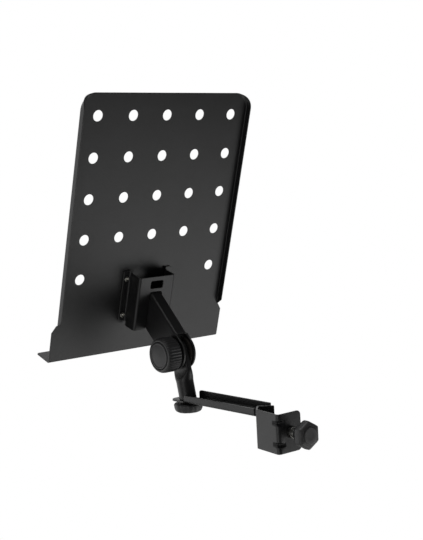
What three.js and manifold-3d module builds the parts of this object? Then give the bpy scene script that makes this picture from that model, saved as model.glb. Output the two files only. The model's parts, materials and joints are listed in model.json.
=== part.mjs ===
// Clamp-on music stand: a perforated sheet-steel desk that lifts off a tilting head, on a short
// swivelling riser at the end of a folded arm, with a screw clamp that grips an upright tube.
// Units are millimetres and +Z is up. The origin is on the axis of the tube that the clamp grips,
// at the middle of the jaw's height. +Y runs from the desk towards the clamp knob.

import * as THREE from 'three';
import { mergeVertices } from 'three/addons/utils/BufferGeometryUtils.js';
import Module from 'manifold-3d';

const wasm = await Module();
wasm.setup();

// Clearances
const gap = 0.3;                    // between pieces that touch
const slideGap = 0.5;               // between the lift-off desk and the head

// Clamp jaw: one folded strip with a V for the tube and a wing for the screw
const gripRadius = 9.5;             // tube gripped at rest
const jawHeight = 40;
const stripThickness = 2;
const stripFoldRadius = 2.6;        // at the middle of the strip
const jawHalfWidth = 12;            // from the middle of the V to its outer folds
const wingDistance = 33.2;          // tube axis to the middle of the screw wing
const wingNearX = 17;               // fold beside the wing
const wingFarX = -13;               // free end of the wing
const wingCornerRadius = 4.5;

// Arm: a channel that opens upwards, with a flat end plate under the riser
const armReach = 128.5;             // gripped tube's axis to the swivel axis
const armWidth = 24;
const armFlange = 8.4;              // outside height of the channel, flush with the jaw's top
const farFlangeRise = 2.4;          // the far flange stands this much higher
const plateTip = 18;                // end plate beyond the swivel axis
const plateCornerRadius = 8;
const flangeStart = 7;              // swivel axis to the start of both flanges
const flangeCornerRadius = 3;

// Clamp screw, nut, pad and knob
const screwRadius = 4;
const nutCollarRadius = 6;
const nutCollarHeight = 4;
const nutRimRadius = 6.2;
const nutNeckRadius = 5;
const nutRimHeight = 1.4;
const padRadius = 7.5;
const padThickness = 4.5;
const padSocketRadius = 3.2;
const padSocketDepth = 2.4;
const clampKnobRadius = 14;
const clampKnobDepth = 19;
const clampKnobStandoff = 8;        // wing to the back of the knob
const clampKnobLobes = 6;
const clampKnobLobeHeight = 0.8;
const screwHeadRadius = 6.4;
const screwHeadHeight = 4;

// Riser tube with a flattened top, leaning back from its mitred foot, and the swivel under it
const riserRadius = 9.5;
const riserWall = 1.5;
const riserHeight = 50.4;           // arm plate to tilt axis
const riserSetback = 11;            // swivel axis to tilt axis, towards the desk
const tangThickness = 7;
const tangRadius = 13;
const tangLength = 19.5;            // tilt axis to where the flat starts to swell
const tangBlend = 11;               // length over which the flat becomes round
const plugHeight = 14;
const swivelScrewRadius = 4;
const swivelWasherRadius = 9;
const washerThickness = 1.4;
const swivelKnobRadius = 16;
const swivelKnobDepth = 10;
const swivelHeadRadius = 6.4;
const swivelHeadHeight = 3.4;

// Tilting head: an inverted channel that runs from the tilt axis to the desk's socket
const deskLean = THREE.MathUtils.degToRad(17.3);    // desk from the vertical
const neckAngle = THREE.MathUtils.degToRad(28);     // neck from the desk's normal
const cheekRadius = 19;             // rounded end of the cheeks round the tilt axis
const cheekLower = 18;              // tilt axis to the lower edge of the cheeks
const cheekThickness = 2;
const neckFoldRadius = 2.2;
const discThickness = 2;
const discRadius = 16.5;
const boltRadius = 4;
const boltHeadRadius = 8.5;
const boltHeadHeight = 4.2;
const tiltWasherRadius = 9.5;
const tiltKnobRadius = 19;
const tiltKnobDepth = 18.5;
const tiltKnobFlutes = 30;
const tiltKnobFluteHeight = 0.4;
const tiltKnobRim = 2.4;
const insertRadius = 6.6;
const insertLength = 10;
const capRadius = 12;
const capRecess = 1.4;
const capThickness = 2;

// Socket on the desk's back, and the tongue of the head inside it
const axisToDesk = 75;              // tilt axis to the desk's back face
const socketDepth = 20.5;
const socketHalfWidth = 24.5;
const socketThickness = 1.5;
const socketFoldRadius = 2.2;
const socketFlangeReach = 33;       // middle of the desk to the edge of the socket's flange
const socketBottom = 7;             // heights along the desk from the tilt axis
const socketTop = 69.5;
const socketFlangeBottom = 13;
const socketFlangeTop = 72.5;
const bridgeHeight = 4;             // strip left between the neck's slot and the window
const windowHeight = 9;
const windowHalfWidth = 8.6;
const tongueThickness = 2;
const tongueBottom = 9.5;
const tongueAboveNeck = 2.5;
const tongueClearOfDesk = 1;

// Desk
const deskWidth = 226;              // outside the side flanges
const deskHeight = 298;             // bottom fold to top edge
const deskThickness = 1.2;
const deskFoldRadius = 1.6;
const deskFlange = 7.5;
const foldBelowAxis = 26;           // tilt axis to the bottom fold, along the desk
const earReach = 6;                 // ears beyond the side flanges
const earHeight = 43;
const earSlope = 8;                 // height over which an ear runs out from the flange
const topCornerRadius = 18;
const ledgeDepth = 25;
const ledgeTilt = THREE.MathUtils.degToRad(2);
const ledgeCornerRadius = 3;
const holeRadius = 6;
const holePitch = 45;
const holeColumns = 5;
const fullHoleRows = 4;
const topRowDrop = 24.3;            // top edge to the first row of holes

// Tubular rivets that hold the socket to the desk
const rivetX = 28.4;
const rivetLow = 20.3;
const rivetHigh = 63;
const rivetShankRadius = 2;
const rivetHeadRadius = 3.2;
const rivetHeadHeight = 1;
const rivetBoreRadius = 1.2;

// Facets
const roundSteps = 40;
const smallSteps = 24;
const foldSteps = 4;
const weldTolerance = 1e-4;

// Places worked out from the sizes
const jawTop = jawHeight / 2;
const plateTop = jawTop - armFlange + stripThickness;
const plateBottom = jawTop - armFlange;
const tiltHeight = plateTop + riserHeight;
const farFlangeTop = jawTop + farFlangeRise;
const riserLean = Math.atan2(riserSetback, riserHeight);
const riserLength = Math.hypot(riserSetback, riserHeight);
const apexY = -(gripRadius + stripThickness / 2) * Math.SQRT2;
const wingOuter = wingDistance + stripThickness / 2;
const wingInner = wingDistance - stripThickness / 2;
const knobBack = wingOuter + clampKnobStandoff;
const tangClear = tangThickness / 2 + gap;
const cheekInner = tangClear + discThickness + gap;
const cheekOuter = cheekInner + cheekThickness;
const deskBack = -axisToDesk;
const deskMiddle = deskBack - deskThickness / 2;
const deskFront = deskBack - deskThickness;
const socketFaceOuter = deskBack + socketDepth;
const socketFaceInner = socketFaceOuter - socketThickness;
const tongueFace = socketFaceInner - gap;
const neckStart = tongueFace + gap;
const neckDirection = new THREE.Vector2(-Math.cos(neckAngle), Math.sin(neckAngle));
const neckNormal = new THREE.Vector2(Math.sin(neckAngle), Math.cos(neckAngle));
const neckTop = (cheekRadius - neckNormal.x * neckStart) / neckNormal.y;
const deskFold = -foldBelowAxis;
const deskTop = deskFold + deskHeight;
const knobStart = cheekOuter + gap + washerThickness + gap;

const finishes = {
  deskSteel: { color: 0x2b2b2c, roughness: 0.55, metalness: 0.35 },
  blackSteel: { color: 0x262627, roughness: 0.5, metalness: 0.4 },
  blackPlastic: { color: 0x242425, roughness: 0.6, metalness: 0 },
  blackWasher: { color: 0x1b1b1b, roughness: 0.7, metalness: 0 },
  brightSteel: { color: 0xc6c6c3, roughness: 0.3, metalness: 1 },
};

// Solids and meshes

function signedVolume(positions, triangles) {
  const a = new THREE.Vector3();
  const b = new THREE.Vector3();
  const c = new THREE.Vector3();
  let total = 0;
  for (let i = 0; i < triangles.length; i += 3) {
    a.fromArray(positions, triangles[i] * 3);
    b.fromArray(positions, triangles[i + 1] * 3);
    c.fromArray(positions, triangles[i + 2] * 3);
    total += a.dot(b.cross(c));
  }
  return total;
}

// A closed three.js geometry as a manifold solid, with its faces pointing out.
function solidFrom(geometry) {
  const bare = geometry.clone();
  bare.deleteAttribute('normal');
  bare.deleteAttribute('uv');
  const welded = mergeVertices(bare, weldTolerance);
  const positions = new Float32Array(welded.attributes.position.array);
  const corners = welded.index.array;
  const triangles = [];
  for (let i = 0; i < corners.length; i += 3) {
    const [a, b, c] = [corners[i], corners[i + 1], corners[i + 2]];
    if (a !== b && b !== c && c !== a) {
      triangles.push(a, b, c);
    }
  }
  if (signedVolume(positions, triangles) < 0) {
    triangles.reverse();
  }
  return new wasm.Manifold(new wasm.Mesh({
    numProp: 3,
    vertProperties: positions,
    triVerts: new Uint32Array(triangles),
  }));
}

function meshOf(name, solid, finish) {
  const result = solid.getMesh();
  const geometry = new THREE.BufferGeometry();
  geometry.setAttribute('position', new THREE.BufferAttribute(result.vertProperties, 3));
  geometry.setIndex(new THREE.BufferAttribute(result.triVerts, 1));
  geometry.computeVertexNormals();
  const mesh = new THREE.Mesh(geometry, new THREE.MeshStandardMaterial(finishes[finish]));
  mesh.name = name;
  return mesh;
}

function joinAll(solids) {
  return solids.reduce((whole, next) => whole.add(next));
}

function cutAll(solid, cutters) {
  return cutters.reduce((rest, cutter) => rest.subtract(cutter), solid);
}

// Extrusions: a shape drawn in XY grows along Z, one drawn in YZ grows along X,
// and one drawn in XZ grows along Y.

function extrusion(shape, depth, curveSegments = foldSteps * 2) {
  return new THREE.ExtrudeGeometry(shape, { depth, curveSegments, bevelEnabled: false });
}

function extrudeZ(shape, low, high, curveSegments) {
  return solidFrom(extrusion(shape, high - low, curveSegments).translate(0, 0, low));
}

function extrudeX(shape, low, high, curveSegments) {
  const turn = new THREE.Matrix4().makeBasis(
    new THREE.Vector3(0, 1, 0),
    new THREE.Vector3(0, 0, 1),
    new THREE.Vector3(1, 0, 0),
  );
  return solidFrom(extrusion(shape, high - low, curveSegments).applyMatrix4(turn).translate(low, 0, 0));
}

function extrudeY(shape, low, high, curveSegments) {
  const turned = extrusion(shape, high - low, curveSegments).rotateX(Math.PI / 2);
  return solidFrom(turned.translate(0, high, 0));
}

function box(low, high) {
  const size = new THREE.Vector3().subVectors(high, low);
  const middle = new THREE.Vector3().addVectors(low, high).multiplyScalar(0.5);
  return solidFrom(new THREE.BoxGeometry(size.x, size.y, size.z).translate(middle.x, middle.y, middle.z));
}

function polygon(points) {
  return new THREE.Shape(points.map(([x, y]) => new THREE.Vector2(x, y)));
}

// Turned pieces: a profile of [radius, distance] pairs is revolved round the named axis.
function turned(profile, axis, steps = roundSteps) {
  const geometry = new THREE.LatheGeometry(profile.map(([r, y]) => new THREE.Vector2(r, y)), steps);
  if (axis === 'x') {
    geometry.rotateZ(-Math.PI / 2);
  }
  if (axis === 'z') {
    geometry.rotateX(Math.PI / 2);
  }
  return solidFrom(geometry);
}

function rod(radius, low, high, axis, steps = smallSteps) {
  return turned([[0, low], [radius, low], [radius, high], [0, high]], axis, steps);
}

function ring(inner, outer, low, high, axis, steps = roundSteps) {
  return turned([[inner, low], [outer, low], [outer, high], [inner, high], [inner, low]], axis, steps);
}

// The outline of a strip folded at the given corners, with one fold radius at its middle.
function foldedStrip(corners, thickness, radius) {
  const points = corners.map(([x, y]) => new THREE.Vector2(x, y));
  const stations = [];
  const leftOf = (direction) => new THREE.Vector2(-direction.y, direction.x);
  const addStation = (point, normal) => stations.push({ point, normal });
  points.forEach((corner, i) => {
    const before = i > 0 ? corner.clone().sub(points[i - 1]).normalize() : null;
    const after = i < points.length - 1 ? points[i + 1].clone().sub(corner).normalize() : null;
    if (!before || !after) {
      addStation(corner, leftOf(before ?? after));
      return;
    }
    const turn = Math.atan2(before.cross(after), before.dot(after));
    const side = Math.sign(turn);
    const start = corner.clone().addScaledVector(before, -radius * Math.tan(Math.abs(turn) / 2));
    const centre = start.clone().addScaledVector(leftOf(before), side * radius);
    for (let k = 0; k <= foldSteps; k += 1) {
      const normal = leftOf(before).rotateAround(new THREE.Vector2(), turn * k / foldSteps);
      addStation(centre.clone().addScaledVector(normal, -side * radius), normal);
    }
  });
  const offset = (amount) => stations.map(({ point, normal }) => point.clone().addScaledVector(normal, amount));
  return new THREE.Shape([...offset(thickness / 2), ...offset(-thickness / 2).reverse()]);
}

// A round outline whose radius rises and falls with a number of lobes.
function lobedShape(radius, lobes, height, stepsPerLobe) {
  const count = lobes * stepsPerLobe;
  const points = Array.from({ length: count }, (_, i) => {
    const angle = (i / count) * Math.PI * 2;
    const reach = radius + height * Math.cos(angle * lobes);
    return new THREE.Vector2(Math.cos(angle) * reach, Math.sin(angle) * reach);
  });
  return new THREE.Shape(points);
}

// The waste outside a rounded corner at (x, y); sideX and sideY point out of the corner.
function cornerWaste(x, y, sideX, sideY, radius) {
  const over = 1;
  const steps = foldSteps * 2;
  const points = [[x + sideX * over, y - sideY * radius], [x + sideX * over, y + sideY * over]];
  points.push([x - sideX * radius, y + sideY * over]);
  for (let k = 0; k <= steps; k += 1) {
    const angle = (Math.PI / 2) * (1 - k / steps);
    const across = x - sideX * radius * (1 - Math.cos(angle));
    const up = y - sideY * radius * (1 - Math.sin(angle));
    points.push([across, up]);
  }
  return polygon(points);
}

// Clamp

function clampJaw() {
  const strip = foldedStrip([
    [-jawHalfWidth, apexY + jawHalfWidth],
    [0, apexY],
    [jawHalfWidth, apexY + jawHalfWidth],
    [wingNearX, wingDistance],
    [wingFarX, wingDistance],
  ], stripThickness, stripFoldRadius);
  const body = extrudeZ(strip, -jawTop, jawTop);
  const cornerCut = (up) => extrudeY(
    cornerWaste(wingFarX, up * jawTop, -1, up, wingCornerRadius),
    wingInner - stripThickness,
    wingOuter + stripThickness,
  );
  const nutHole = rod(nutNeckRadius + gap, wingInner - 1, wingOuter + 1, 'y');
  return cutAll(body, [cornerCut(1), cornerCut(-1), nutHole]);
}

// A flanged nut riveted through the wing, with the wing between its rim and its collar.
function clampNut() {
  const bore = screwRadius + gap;
  const rimStart = wingInner - gap - nutRimHeight;
  return turned([
    [bore, rimStart],
    [nutRimRadius, rimStart],
    [nutRimRadius, wingInner - gap],
    [nutNeckRadius, wingInner - gap],
    [nutNeckRadius, wingOuter + gap],
    [nutCollarRadius, wingOuter + gap],
    [nutCollarRadius, wingOuter + nutCollarHeight],
    [bore, wingOuter + nutCollarHeight],
    [bore, rimStart],
  ], 'y');
}

function clampPad() {
  const back = gripRadius + padThickness;
  return turned([
    [0, gripRadius],
    [padRadius - 0.8, gripRadius],
    [padRadius, gripRadius + 0.8],
    [padRadius, back - 1],
    [padRadius - 1.5, back],
    [padSocketRadius, back],
    [padSocketRadius, back - padSocketDepth],
    [0, back - padSocketDepth],
  ], 'y');
}

const screwHeadTop = knobBack + clampKnobDepth - 4;

function clampScrew() {
  const back = gripRadius + padThickness;
  const tip = back - padSocketDepth + gap;
  const headStart = screwHeadTop - screwHeadHeight;
  return turned([
    [0, tip],
    [padSocketRadius - gap, tip],
    [padSocketRadius - gap, back + gap],
    [screwRadius, back + 1.2],
    [screwRadius, headStart],
    [screwHeadRadius, headStart],
    [screwHeadRadius, screwHeadTop],
    [0, screwHeadTop],
  ], 'y');
}

// A six-lobed knob with a conical back and a raised centre, moulded round the screw's head.
function clampKnob() {
  const face = knobBack + clampKnobDepth;
  const rim = clampKnobRadius + clampKnobLobeHeight;
  const blank = turned([
    [0, knobBack],
    [7, knobBack],
    [8, knobBack + 2.5],
    [rim - 1.5, knobBack + 8],
    [rim, knobBack + 9.5],
    [rim, face - 3.5],
    [rim - 2, face - 1.2],
    [9.2, face - 0.9],
    [8.4, face],
    [0, face],
  ], 'y');
  const lobes = extrudeY(
    lobedShape(clampKnobRadius, clampKnobLobes, clampKnobLobeHeight, 10),
    knobBack - 1,
    face + 1,
  );
  const shaftHole = rod(screwRadius + gap, knobBack - 1, screwHeadTop, 'y');
  const headHole = rod(
    screwHeadRadius + gap,
    screwHeadTop - screwHeadHeight - gap,
    screwHeadTop + gap,
    'y',
  );
  return cutAll(blank.intersect(lobes), [shaftHole, headHole]);
}

function clampArm() {
  const half = armWidth / 2 - stripThickness / 2;
  const middle = plateBottom + stripThickness / 2;
  const tip = -armReach - plateTip;
  const section = foldedStrip([[half, jawTop], [half, middle], [-half, middle], [-half, farFlangeTop]],
    stripThickness, stripFoldRadius);
  const channel = extrudeY(section, tip, 0);
  const reach = armWidth;
  const vee = apexY - (stripThickness / 2 + gap) * Math.SQRT2;
  const veeCut = extrudeZ(
    polygon([[-reach, vee + reach], [0, vee], [reach, vee + reach], [reach, reach], [-reach, reach]]),
    plateBottom - 1,
    farFlangeTop + 1,
  );
  return cutAll(channel, [veeCut, ...flangeCuts(tip), ...plateCuts(tip), studHole()]);
}

// The flanges start beside the riser, with a rounded upper corner.
function flangeCuts(tip) {
  const from = -armReach + flangeStart;
  return [[1, jawTop], [-1, farFlangeTop]].flatMap(([side, top]) => {
    const inner = armWidth / 2 - stripThickness - stripFoldRadius;
    const xs = [side * inner, side * armWidth].sort((a, b) => a - b);
    const away = box(
      new THREE.Vector3(xs[0], tip - 1, plateTop),
      new THREE.Vector3(xs[1], from, top + 1),
    );
    const corner = extrudeX(cornerWaste(from, top, -1, 1, flangeCornerRadius), xs[0], xs[1]);
    return [away, corner];
  });
}

// The end plate has rounded corners.
function plateCuts(tip) {
  return [1, -1].map((side) => extrudeZ(
    cornerWaste(side * armWidth / 2, tip, side, -1, plateCornerRadius),
    plateBottom - 1,
    jawTop + 1,
    smallSteps,
  ));
}

function studHole() {
  const hole = turned([
    [0, plateBottom - 1],
    [swivelScrewRadius + gap, plateBottom - 1],
    [swivelScrewRadius + gap, plateTop + 1],
    [0, plateTop + 1],
  ], 'z', smallSteps);
  return hole.translate([0, -armReach, 0]);
}

// Riser and swivel, on the swivel's axis

// Turns a solid drawn upright under the tilt axis, whose height is 0, into the riser's lean, and
// cuts it off level between two heights.
function leaned(solid, low, high) {
  const reach = riserLength * 2;
  const level = box(new THREE.Vector3(-reach, -reach, low), new THREE.Vector3(reach, reach, high));
  const turnedSolid = solid.rotate([THREE.MathUtils.radToDeg(riserLean), 0, 0]);
  return turnedSolid.translate([0, -riserSetback, tiltHeight]).intersect(level);
}

function riserTube() {
  const over = 1;
  const bottom = -riserLength - riserRadius;
  const flatStart = -tangLength;
  const roundTop = flatStart - tangBlend;
  const flatHalf = tangThickness / 2;
  const squeeze = polygon([
    [-riserRadius - over, bottom - over],
    [riserRadius + over, bottom - over],
    [riserRadius + over, roundTop],
    [riserRadius, roundTop],
    [flatHalf + 1.2, flatStart - 3],
    [flatHalf, flatStart],
    [flatHalf, 0],
    [-flatHalf, 0],
    [-flatHalf, flatStart],
    [-flatHalf - 1.2, flatStart - 3],
    [-riserRadius, roundTop],
    [-riserRadius - over, roundTop],
  ]);
  const round = rod(riserRadius, bottom, 0, 'z', roundSteps);
  const barrel = round.intersect(extrudeY(squeeze, -riserRadius - over, riserRadius + over));
  const swell = new THREE.Shape();
  swell.moveTo(-riserRadius + over, roundTop - over);
  swell.lineTo(riserRadius - over, roundTop - over);
  swell.lineTo(tangRadius - 0.6, flatStart - 2);
  swell.lineTo(tangRadius, flatStart + 1);
  swell.lineTo(tangRadius, 0);
  swell.absarc(0, 0, tangRadius, 0, Math.PI, false);
  swell.lineTo(-tangRadius, flatStart + 1);
  swell.lineTo(-tangRadius + 0.6, flatStart - 2);
  const tang = extrudeX(swell, -flatHalf, flatHalf, smallSteps);
  const bore = rod(riserRadius - riserWall, bottom - over, roundTop - 2, 'z', roundSteps);
  const boltHole = rod(boltRadius + gap, -riserRadius, riserRadius, 'x');
  const tube = cutAll(barrel.add(tang), [bore, boltHole]);
  return leaned(tube, plateTop + gap, tiltHeight + riserLength);
}

function tubePlug() {
  const bottom = plateTop + gap;
  const top = bottom + plugHeight;
  const blank = rod(riserRadius - riserWall - gap, -riserLength - riserRadius, -tangLength, 'z', roundSteps);
  const hole = rod(swivelScrewRadius + gap, bottom - 1, top + 1, 'z');
  return leaned(blank, bottom, top).subtract(hole);
}

const swivelWasherTop = plateBottom - gap;
const swivelKnobTop = swivelWasherTop - washerThickness - gap;

function swivelWasher() {
  const inner = swivelScrewRadius + gap;
  return ring(inner, swivelWasherRadius, swivelWasherTop - washerThickness, swivelWasherTop, 'z');
}

function swivelStud() {
  const headTop = swivelKnobTop - 2.2;
  return turned([
    [0, headTop - swivelHeadHeight],
    [swivelHeadRadius, headTop - swivelHeadHeight],
    [swivelHeadRadius, headTop],
    [swivelScrewRadius, headTop],
    [swivelScrewRadius, plateTop + plugHeight - 2],
    [0, plateTop + plugHeight - 2],
  ], 'z');
}

function swivelKnob() {
  const bottom = swivelKnobTop - swivelKnobDepth;
  const headTop = swivelKnobTop - 2.2;
  const blank = turned([
    [0, bottom],
    [swivelKnobRadius - 4, bottom],
    [swivelKnobRadius - 1.6, bottom + 1.2],
    [swivelKnobRadius - 0.4, bottom + 3.4],
    [swivelKnobRadius, swivelKnobTop - 1.8],
    [swivelKnobRadius - 0.8, swivelKnobTop - 0.6],
    [swivelKnobRadius - 3, swivelKnobTop],
    [0, swivelKnobTop],
  ], 'z');
  const shaftHole = rod(swivelScrewRadius + gap, headTop - 1, swivelKnobTop + 1, 'z');
  const headHole = rod(
    swivelHeadRadius + gap,
    headTop - swivelHeadHeight - gap,
    headTop + gap,
    'z',
  );
  return cutAll(blank, [shaftHole, headHole]);
}

// Head, in a frame whose origin is on the tilt axis and whose Y is the desk's normal

// The neck's side: two cheek edges that run to a round end on the tilt axis.
function neckSide() {
  const upper = Math.atan2(neckNormal.y, neckNormal.x);
  const steps = 16;
  const lowerAt = (y) => (-cheekLower - neckNormal.x * y) / neckNormal.y;
  const points = [[neckStart, neckTop]];
  for (let k = 0; k <= steps; k += 1) {
    const angle = upper - Math.PI * (k / steps);
    const reach = THREE.MathUtils.lerp(cheekRadius, cheekLower, k / steps);
    points.push([Math.cos(angle) * reach, Math.sin(angle) * reach]);
  }
  points.push([neckStart, lowerAt(neckStart)]);
  return polygon(points);
}

function headNeck() {
  const half = cheekInner + cheekThickness / 2;
  const webMiddle = cheekRadius - cheekThickness / 2;
  const section = foldedStrip([
    [half, -cheekRadius - 2],
    [half, webMiddle],
    [-half, webMiddle],
    [-half, -cheekRadius - 2],
  ], cheekThickness, neckFoldRadius);
  const length = axisToDesk + cheekRadius;
  const along = new THREE.Matrix4().makeBasis(
    new THREE.Vector3(1, 0, 0),
    new THREE.Vector3(0, neckNormal.x, neckNormal.y),
    new THREE.Vector3(0, -neckDirection.x, -neckDirection.y),
  );
  const channel = extrusion(section, length + cheekRadius).translate(0, 0, -length).applyMatrix4(along);
  const side = extrudeX(neckSide(), -cheekOuter - 1, cheekOuter + 1);
  const folded = solidFrom(channel).intersect(side);
  const webEnd = new THREE.BoxGeometry(cheekInner * 2, cheekRadius, cheekRadius * 2);
  webEnd.translate(0, cheekRadius * 1.1, cheekRadius + 3).applyMatrix4(along);
  const webLip = new THREE.BoxGeometry(cheekOuter * 3, cheekRadius, cheekRadius * 2);
  webLip.translate(0, cheekRadius * 1.5 - neckFoldRadius * 1.6, cheekRadius + 3).applyMatrix4(along);
  const boltHole = rod(boltRadius + gap, -cheekOuter - 1, cheekOuter + 1, 'x');
  return cutAll(folded, [solidFrom(webEnd), solidFrom(webLip), boltHole]);
}

// The tongue is a shallow channel that fills the socket and faces the desk.
function headTongue() {
  const half = socketHalfWidth - socketThickness - slideGap - tongueThickness / 2;
  const face = tongueFace - tongueThickness / 2;
  const open = deskBack + tongueClearOfDesk;
  const section = foldedStrip([[half, open], [half, face], [-half, face], [-half, open]],
    tongueThickness, socketFoldRadius);
  return extrudeZ(section, tongueBottom, neckTop + tongueAboveNeck);
}

function frictionDisc(side) {
  const ends = [side * tangClear, side * (tangClear + discThickness)].sort((a, b) => a - b);
  return ring(boltRadius + gap, discRadius, ends[0], ends[1], 'x');
}

function tiltBolt() {
  const head = -cheekOuter - gap;
  const end = knobStart + insertLength - 1;
  return turned([
    [0, head - boltHeadHeight],
    [boltHeadRadius * 0.55, head - boltHeadHeight * 0.85],
    [boltHeadRadius * 0.88, head - boltHeadHeight * 0.45],
    [boltHeadRadius, head],
    [boltRadius, head],
    [boltRadius, end],
    [0, end],
  ], 'x', smallSteps);
}

function tiltWasher() {
  const start = cheekOuter + gap;
  return ring(boltRadius + gap, tiltWasherRadius, start, start + washerThickness, 'x');
}

function tiltKnob() {
  const rim = tiltKnobRadius + tiltKnobFluteHeight;
  const face = knobStart + tiltKnobDepth;
  const blank = turned([
    [0, knobStart],
    [rim - 1.6, knobStart],
    [rim, knobStart + 1.2],
    [rim, face - tiltKnobRim],
    [rim - 1.8, face - 0.6],
    [rim - 4, face],
    [0, face],
  ], 'x', roundSteps);
  const flutes = extrudeX(
    lobedShape(tiltKnobRadius, tiltKnobFlutes, tiltKnobFluteHeight, 4),
    knobStart - 1,
    face + 1,
  );
  const insertHole = rod(insertRadius + gap, knobStart - 1, knobStart + insertLength + gap, 'x');
  const capHole = rod(capRadius + gap, face - capRecess - gap, face + 1, 'x', roundSteps);
  return cutAll(blank.intersect(flutes), [insertHole, capHole]);
}

// The threaded insert is moulded into the knob and ends flush with its back.
function tiltKnobInsert() {
  return ring(boltRadius + gap, insertRadius, knobStart, knobStart + insertLength, 'x', smallSteps);
}

function tiltKnobCap() {
  const start = knobStart + tiltKnobDepth - capRecess;
  return turned([
    [0, start],
    [capRadius, start],
    [capRadius, start + capThickness - 0.6],
    [capRadius - 0.8, start + capThickness],
    [0, start + capThickness],
  ], 'x');
}

// Desk and socket, in the head's frame

function deskSocket() {
  const wall = socketHalfWidth - socketThickness / 2;
  const face = socketFaceOuter - socketThickness / 2;
  const flange = deskBack + gap + socketThickness / 2;
  const section = foldedStrip([
    [socketFlangeReach, flange],
    [wall, flange],
    [wall, face],
    [-wall, face],
    [-wall, flange],
    [-socketFlangeReach, flange],
  ], socketThickness, socketFoldRadius);
  const hat = extrudeZ(section, socketBottom, socketFlangeTop);
  const past = socketFlangeReach + 1;
  const flangeBack = deskBack + gap + socketThickness;
  const topCut = box(
    new THREE.Vector3(-past, flangeBack + socketFoldRadius, socketTop),
    new THREE.Vector3(past, socketFaceOuter + 1, socketFlangeTop + 1),
  );
  const lowCuts = [1, -1].map((side) => {
    const xs = [side * socketHalfWidth, side * past].sort((a, b) => a - b);
    return box(
      new THREE.Vector3(xs[0], deskBack, socketBottom - 1),
      new THREE.Vector3(xs[1], socketFaceOuter, socketFlangeBottom),
    );
  });
  const rivetHoles = rivetPlaces().map(({ x, z }) => (
    rod(rivetShankRadius + gap, deskBack, flangeBack + 1, 'y').translate([x, 0, z])
  ));
  return cutAll(hat, [topCut, ...lowCuts, neckSlot(), socketWindow(), ...rivetHoles]);
}

// The slot is open at the bottom, and its upper end comes to rest on the neck.
function neckSlot() {
  const half = cheekOuter + slideGap;
  return box(
    new THREE.Vector3(-half, socketFaceInner - 1, socketBottom - 1),
    new THREE.Vector3(half, socketFaceOuter + 1, neckTop + gap),
  );
}

function socketWindow() {
  const low = neckTop + gap + bridgeHeight;
  return box(
    new THREE.Vector3(-windowHalfWidth, socketFaceInner - 1, low),
    new THREE.Vector3(windowHalfWidth, socketFaceOuter + 1, low + windowHeight),
  );
}

function rivetPlaces() {
  const places = [];
  for (const z of [rivetLow, rivetHigh]) {
    for (const x of [rivetX, -rivetX]) {
      places.push({ x, z });
    }
  }
  return places;
}

// A tubular rivet with a round head on the socket and a rolled head on the desk's front.
function rivet({ x, z }) {
  const back = deskBack + gap + socketThickness + gap;
  const front = deskFront - gap;
  return turned([
    [rivetBoreRadius, front - rivetHeadHeight],
    [rivetHeadRadius - 0.4, front - rivetHeadHeight],
    [rivetHeadRadius, front],
    [rivetShankRadius, front],
    [rivetShankRadius, back],
    [rivetHeadRadius, back],
    [rivetHeadRadius - 0.5, back + rivetHeadHeight],
    [rivetBoreRadius, back + rivetHeadHeight],
    [rivetBoreRadius, front - rivetHeadHeight],
  ], 'y', smallSteps).translate([x, 0, z]);
}

function deskOutline() {
  const half = deskWidth / 2;
  const ear = half + earReach;
  const inner = half - deskFoldRadius - deskThickness / 2;
  const earTop = deskFold + earHeight;
  const flangeTop = deskTop - topCornerRadius;
  const bottom = deskFold + deskFoldRadius * 3;
  const outline = new THREE.Shape();
  outline.moveTo(-ear, bottom);
  outline.lineTo(ear, bottom);
  outline.lineTo(ear, earTop - earSlope);
  outline.lineTo(half, earTop);
  outline.lineTo(inner, earTop);
  outline.lineTo(inner, flangeTop);
  outline.lineTo(half, flangeTop);
  outline.absarc(half - topCornerRadius, flangeTop, topCornerRadius, 0, Math.PI / 2, false);
  outline.absarc(-half + topCornerRadius, flangeTop, topCornerRadius, Math.PI / 2, Math.PI, false);
  outline.lineTo(-inner, flangeTop);
  outline.lineTo(-inner, earTop);
  outline.lineTo(-half, earTop);
  outline.lineTo(-ear, earTop - earSlope);
  return outline;
}

// A side flange turned towards the back, with sloping ends.
function deskSideFlange(side) {
  const middle = side * (deskWidth / 2 - deskThickness / 2);
  const tip = deskBack + deskFlange;
  const low = deskFold + earHeight;
  const high = deskTop - topCornerRadius;
  const section = foldedStrip([
    [middle - side * deskFlange * 1.5, deskMiddle],
    [middle, deskMiddle],
    [middle, tip],
  ], deskThickness, deskFoldRadius);
  const flange = extrudeZ(section, low, high);
  const reach = deskWidth / 2 + 1;
  const slope = (from, up) => extrudeX(
    polygon([[deskBack, from], [tip + 1, from], [tip + 1, from + up * (deskFlange + 1)]]),
    -reach,
    reach,
  );
  return cutAll(flange, [slope(low, 1), slope(high, -1)]);
}

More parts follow.
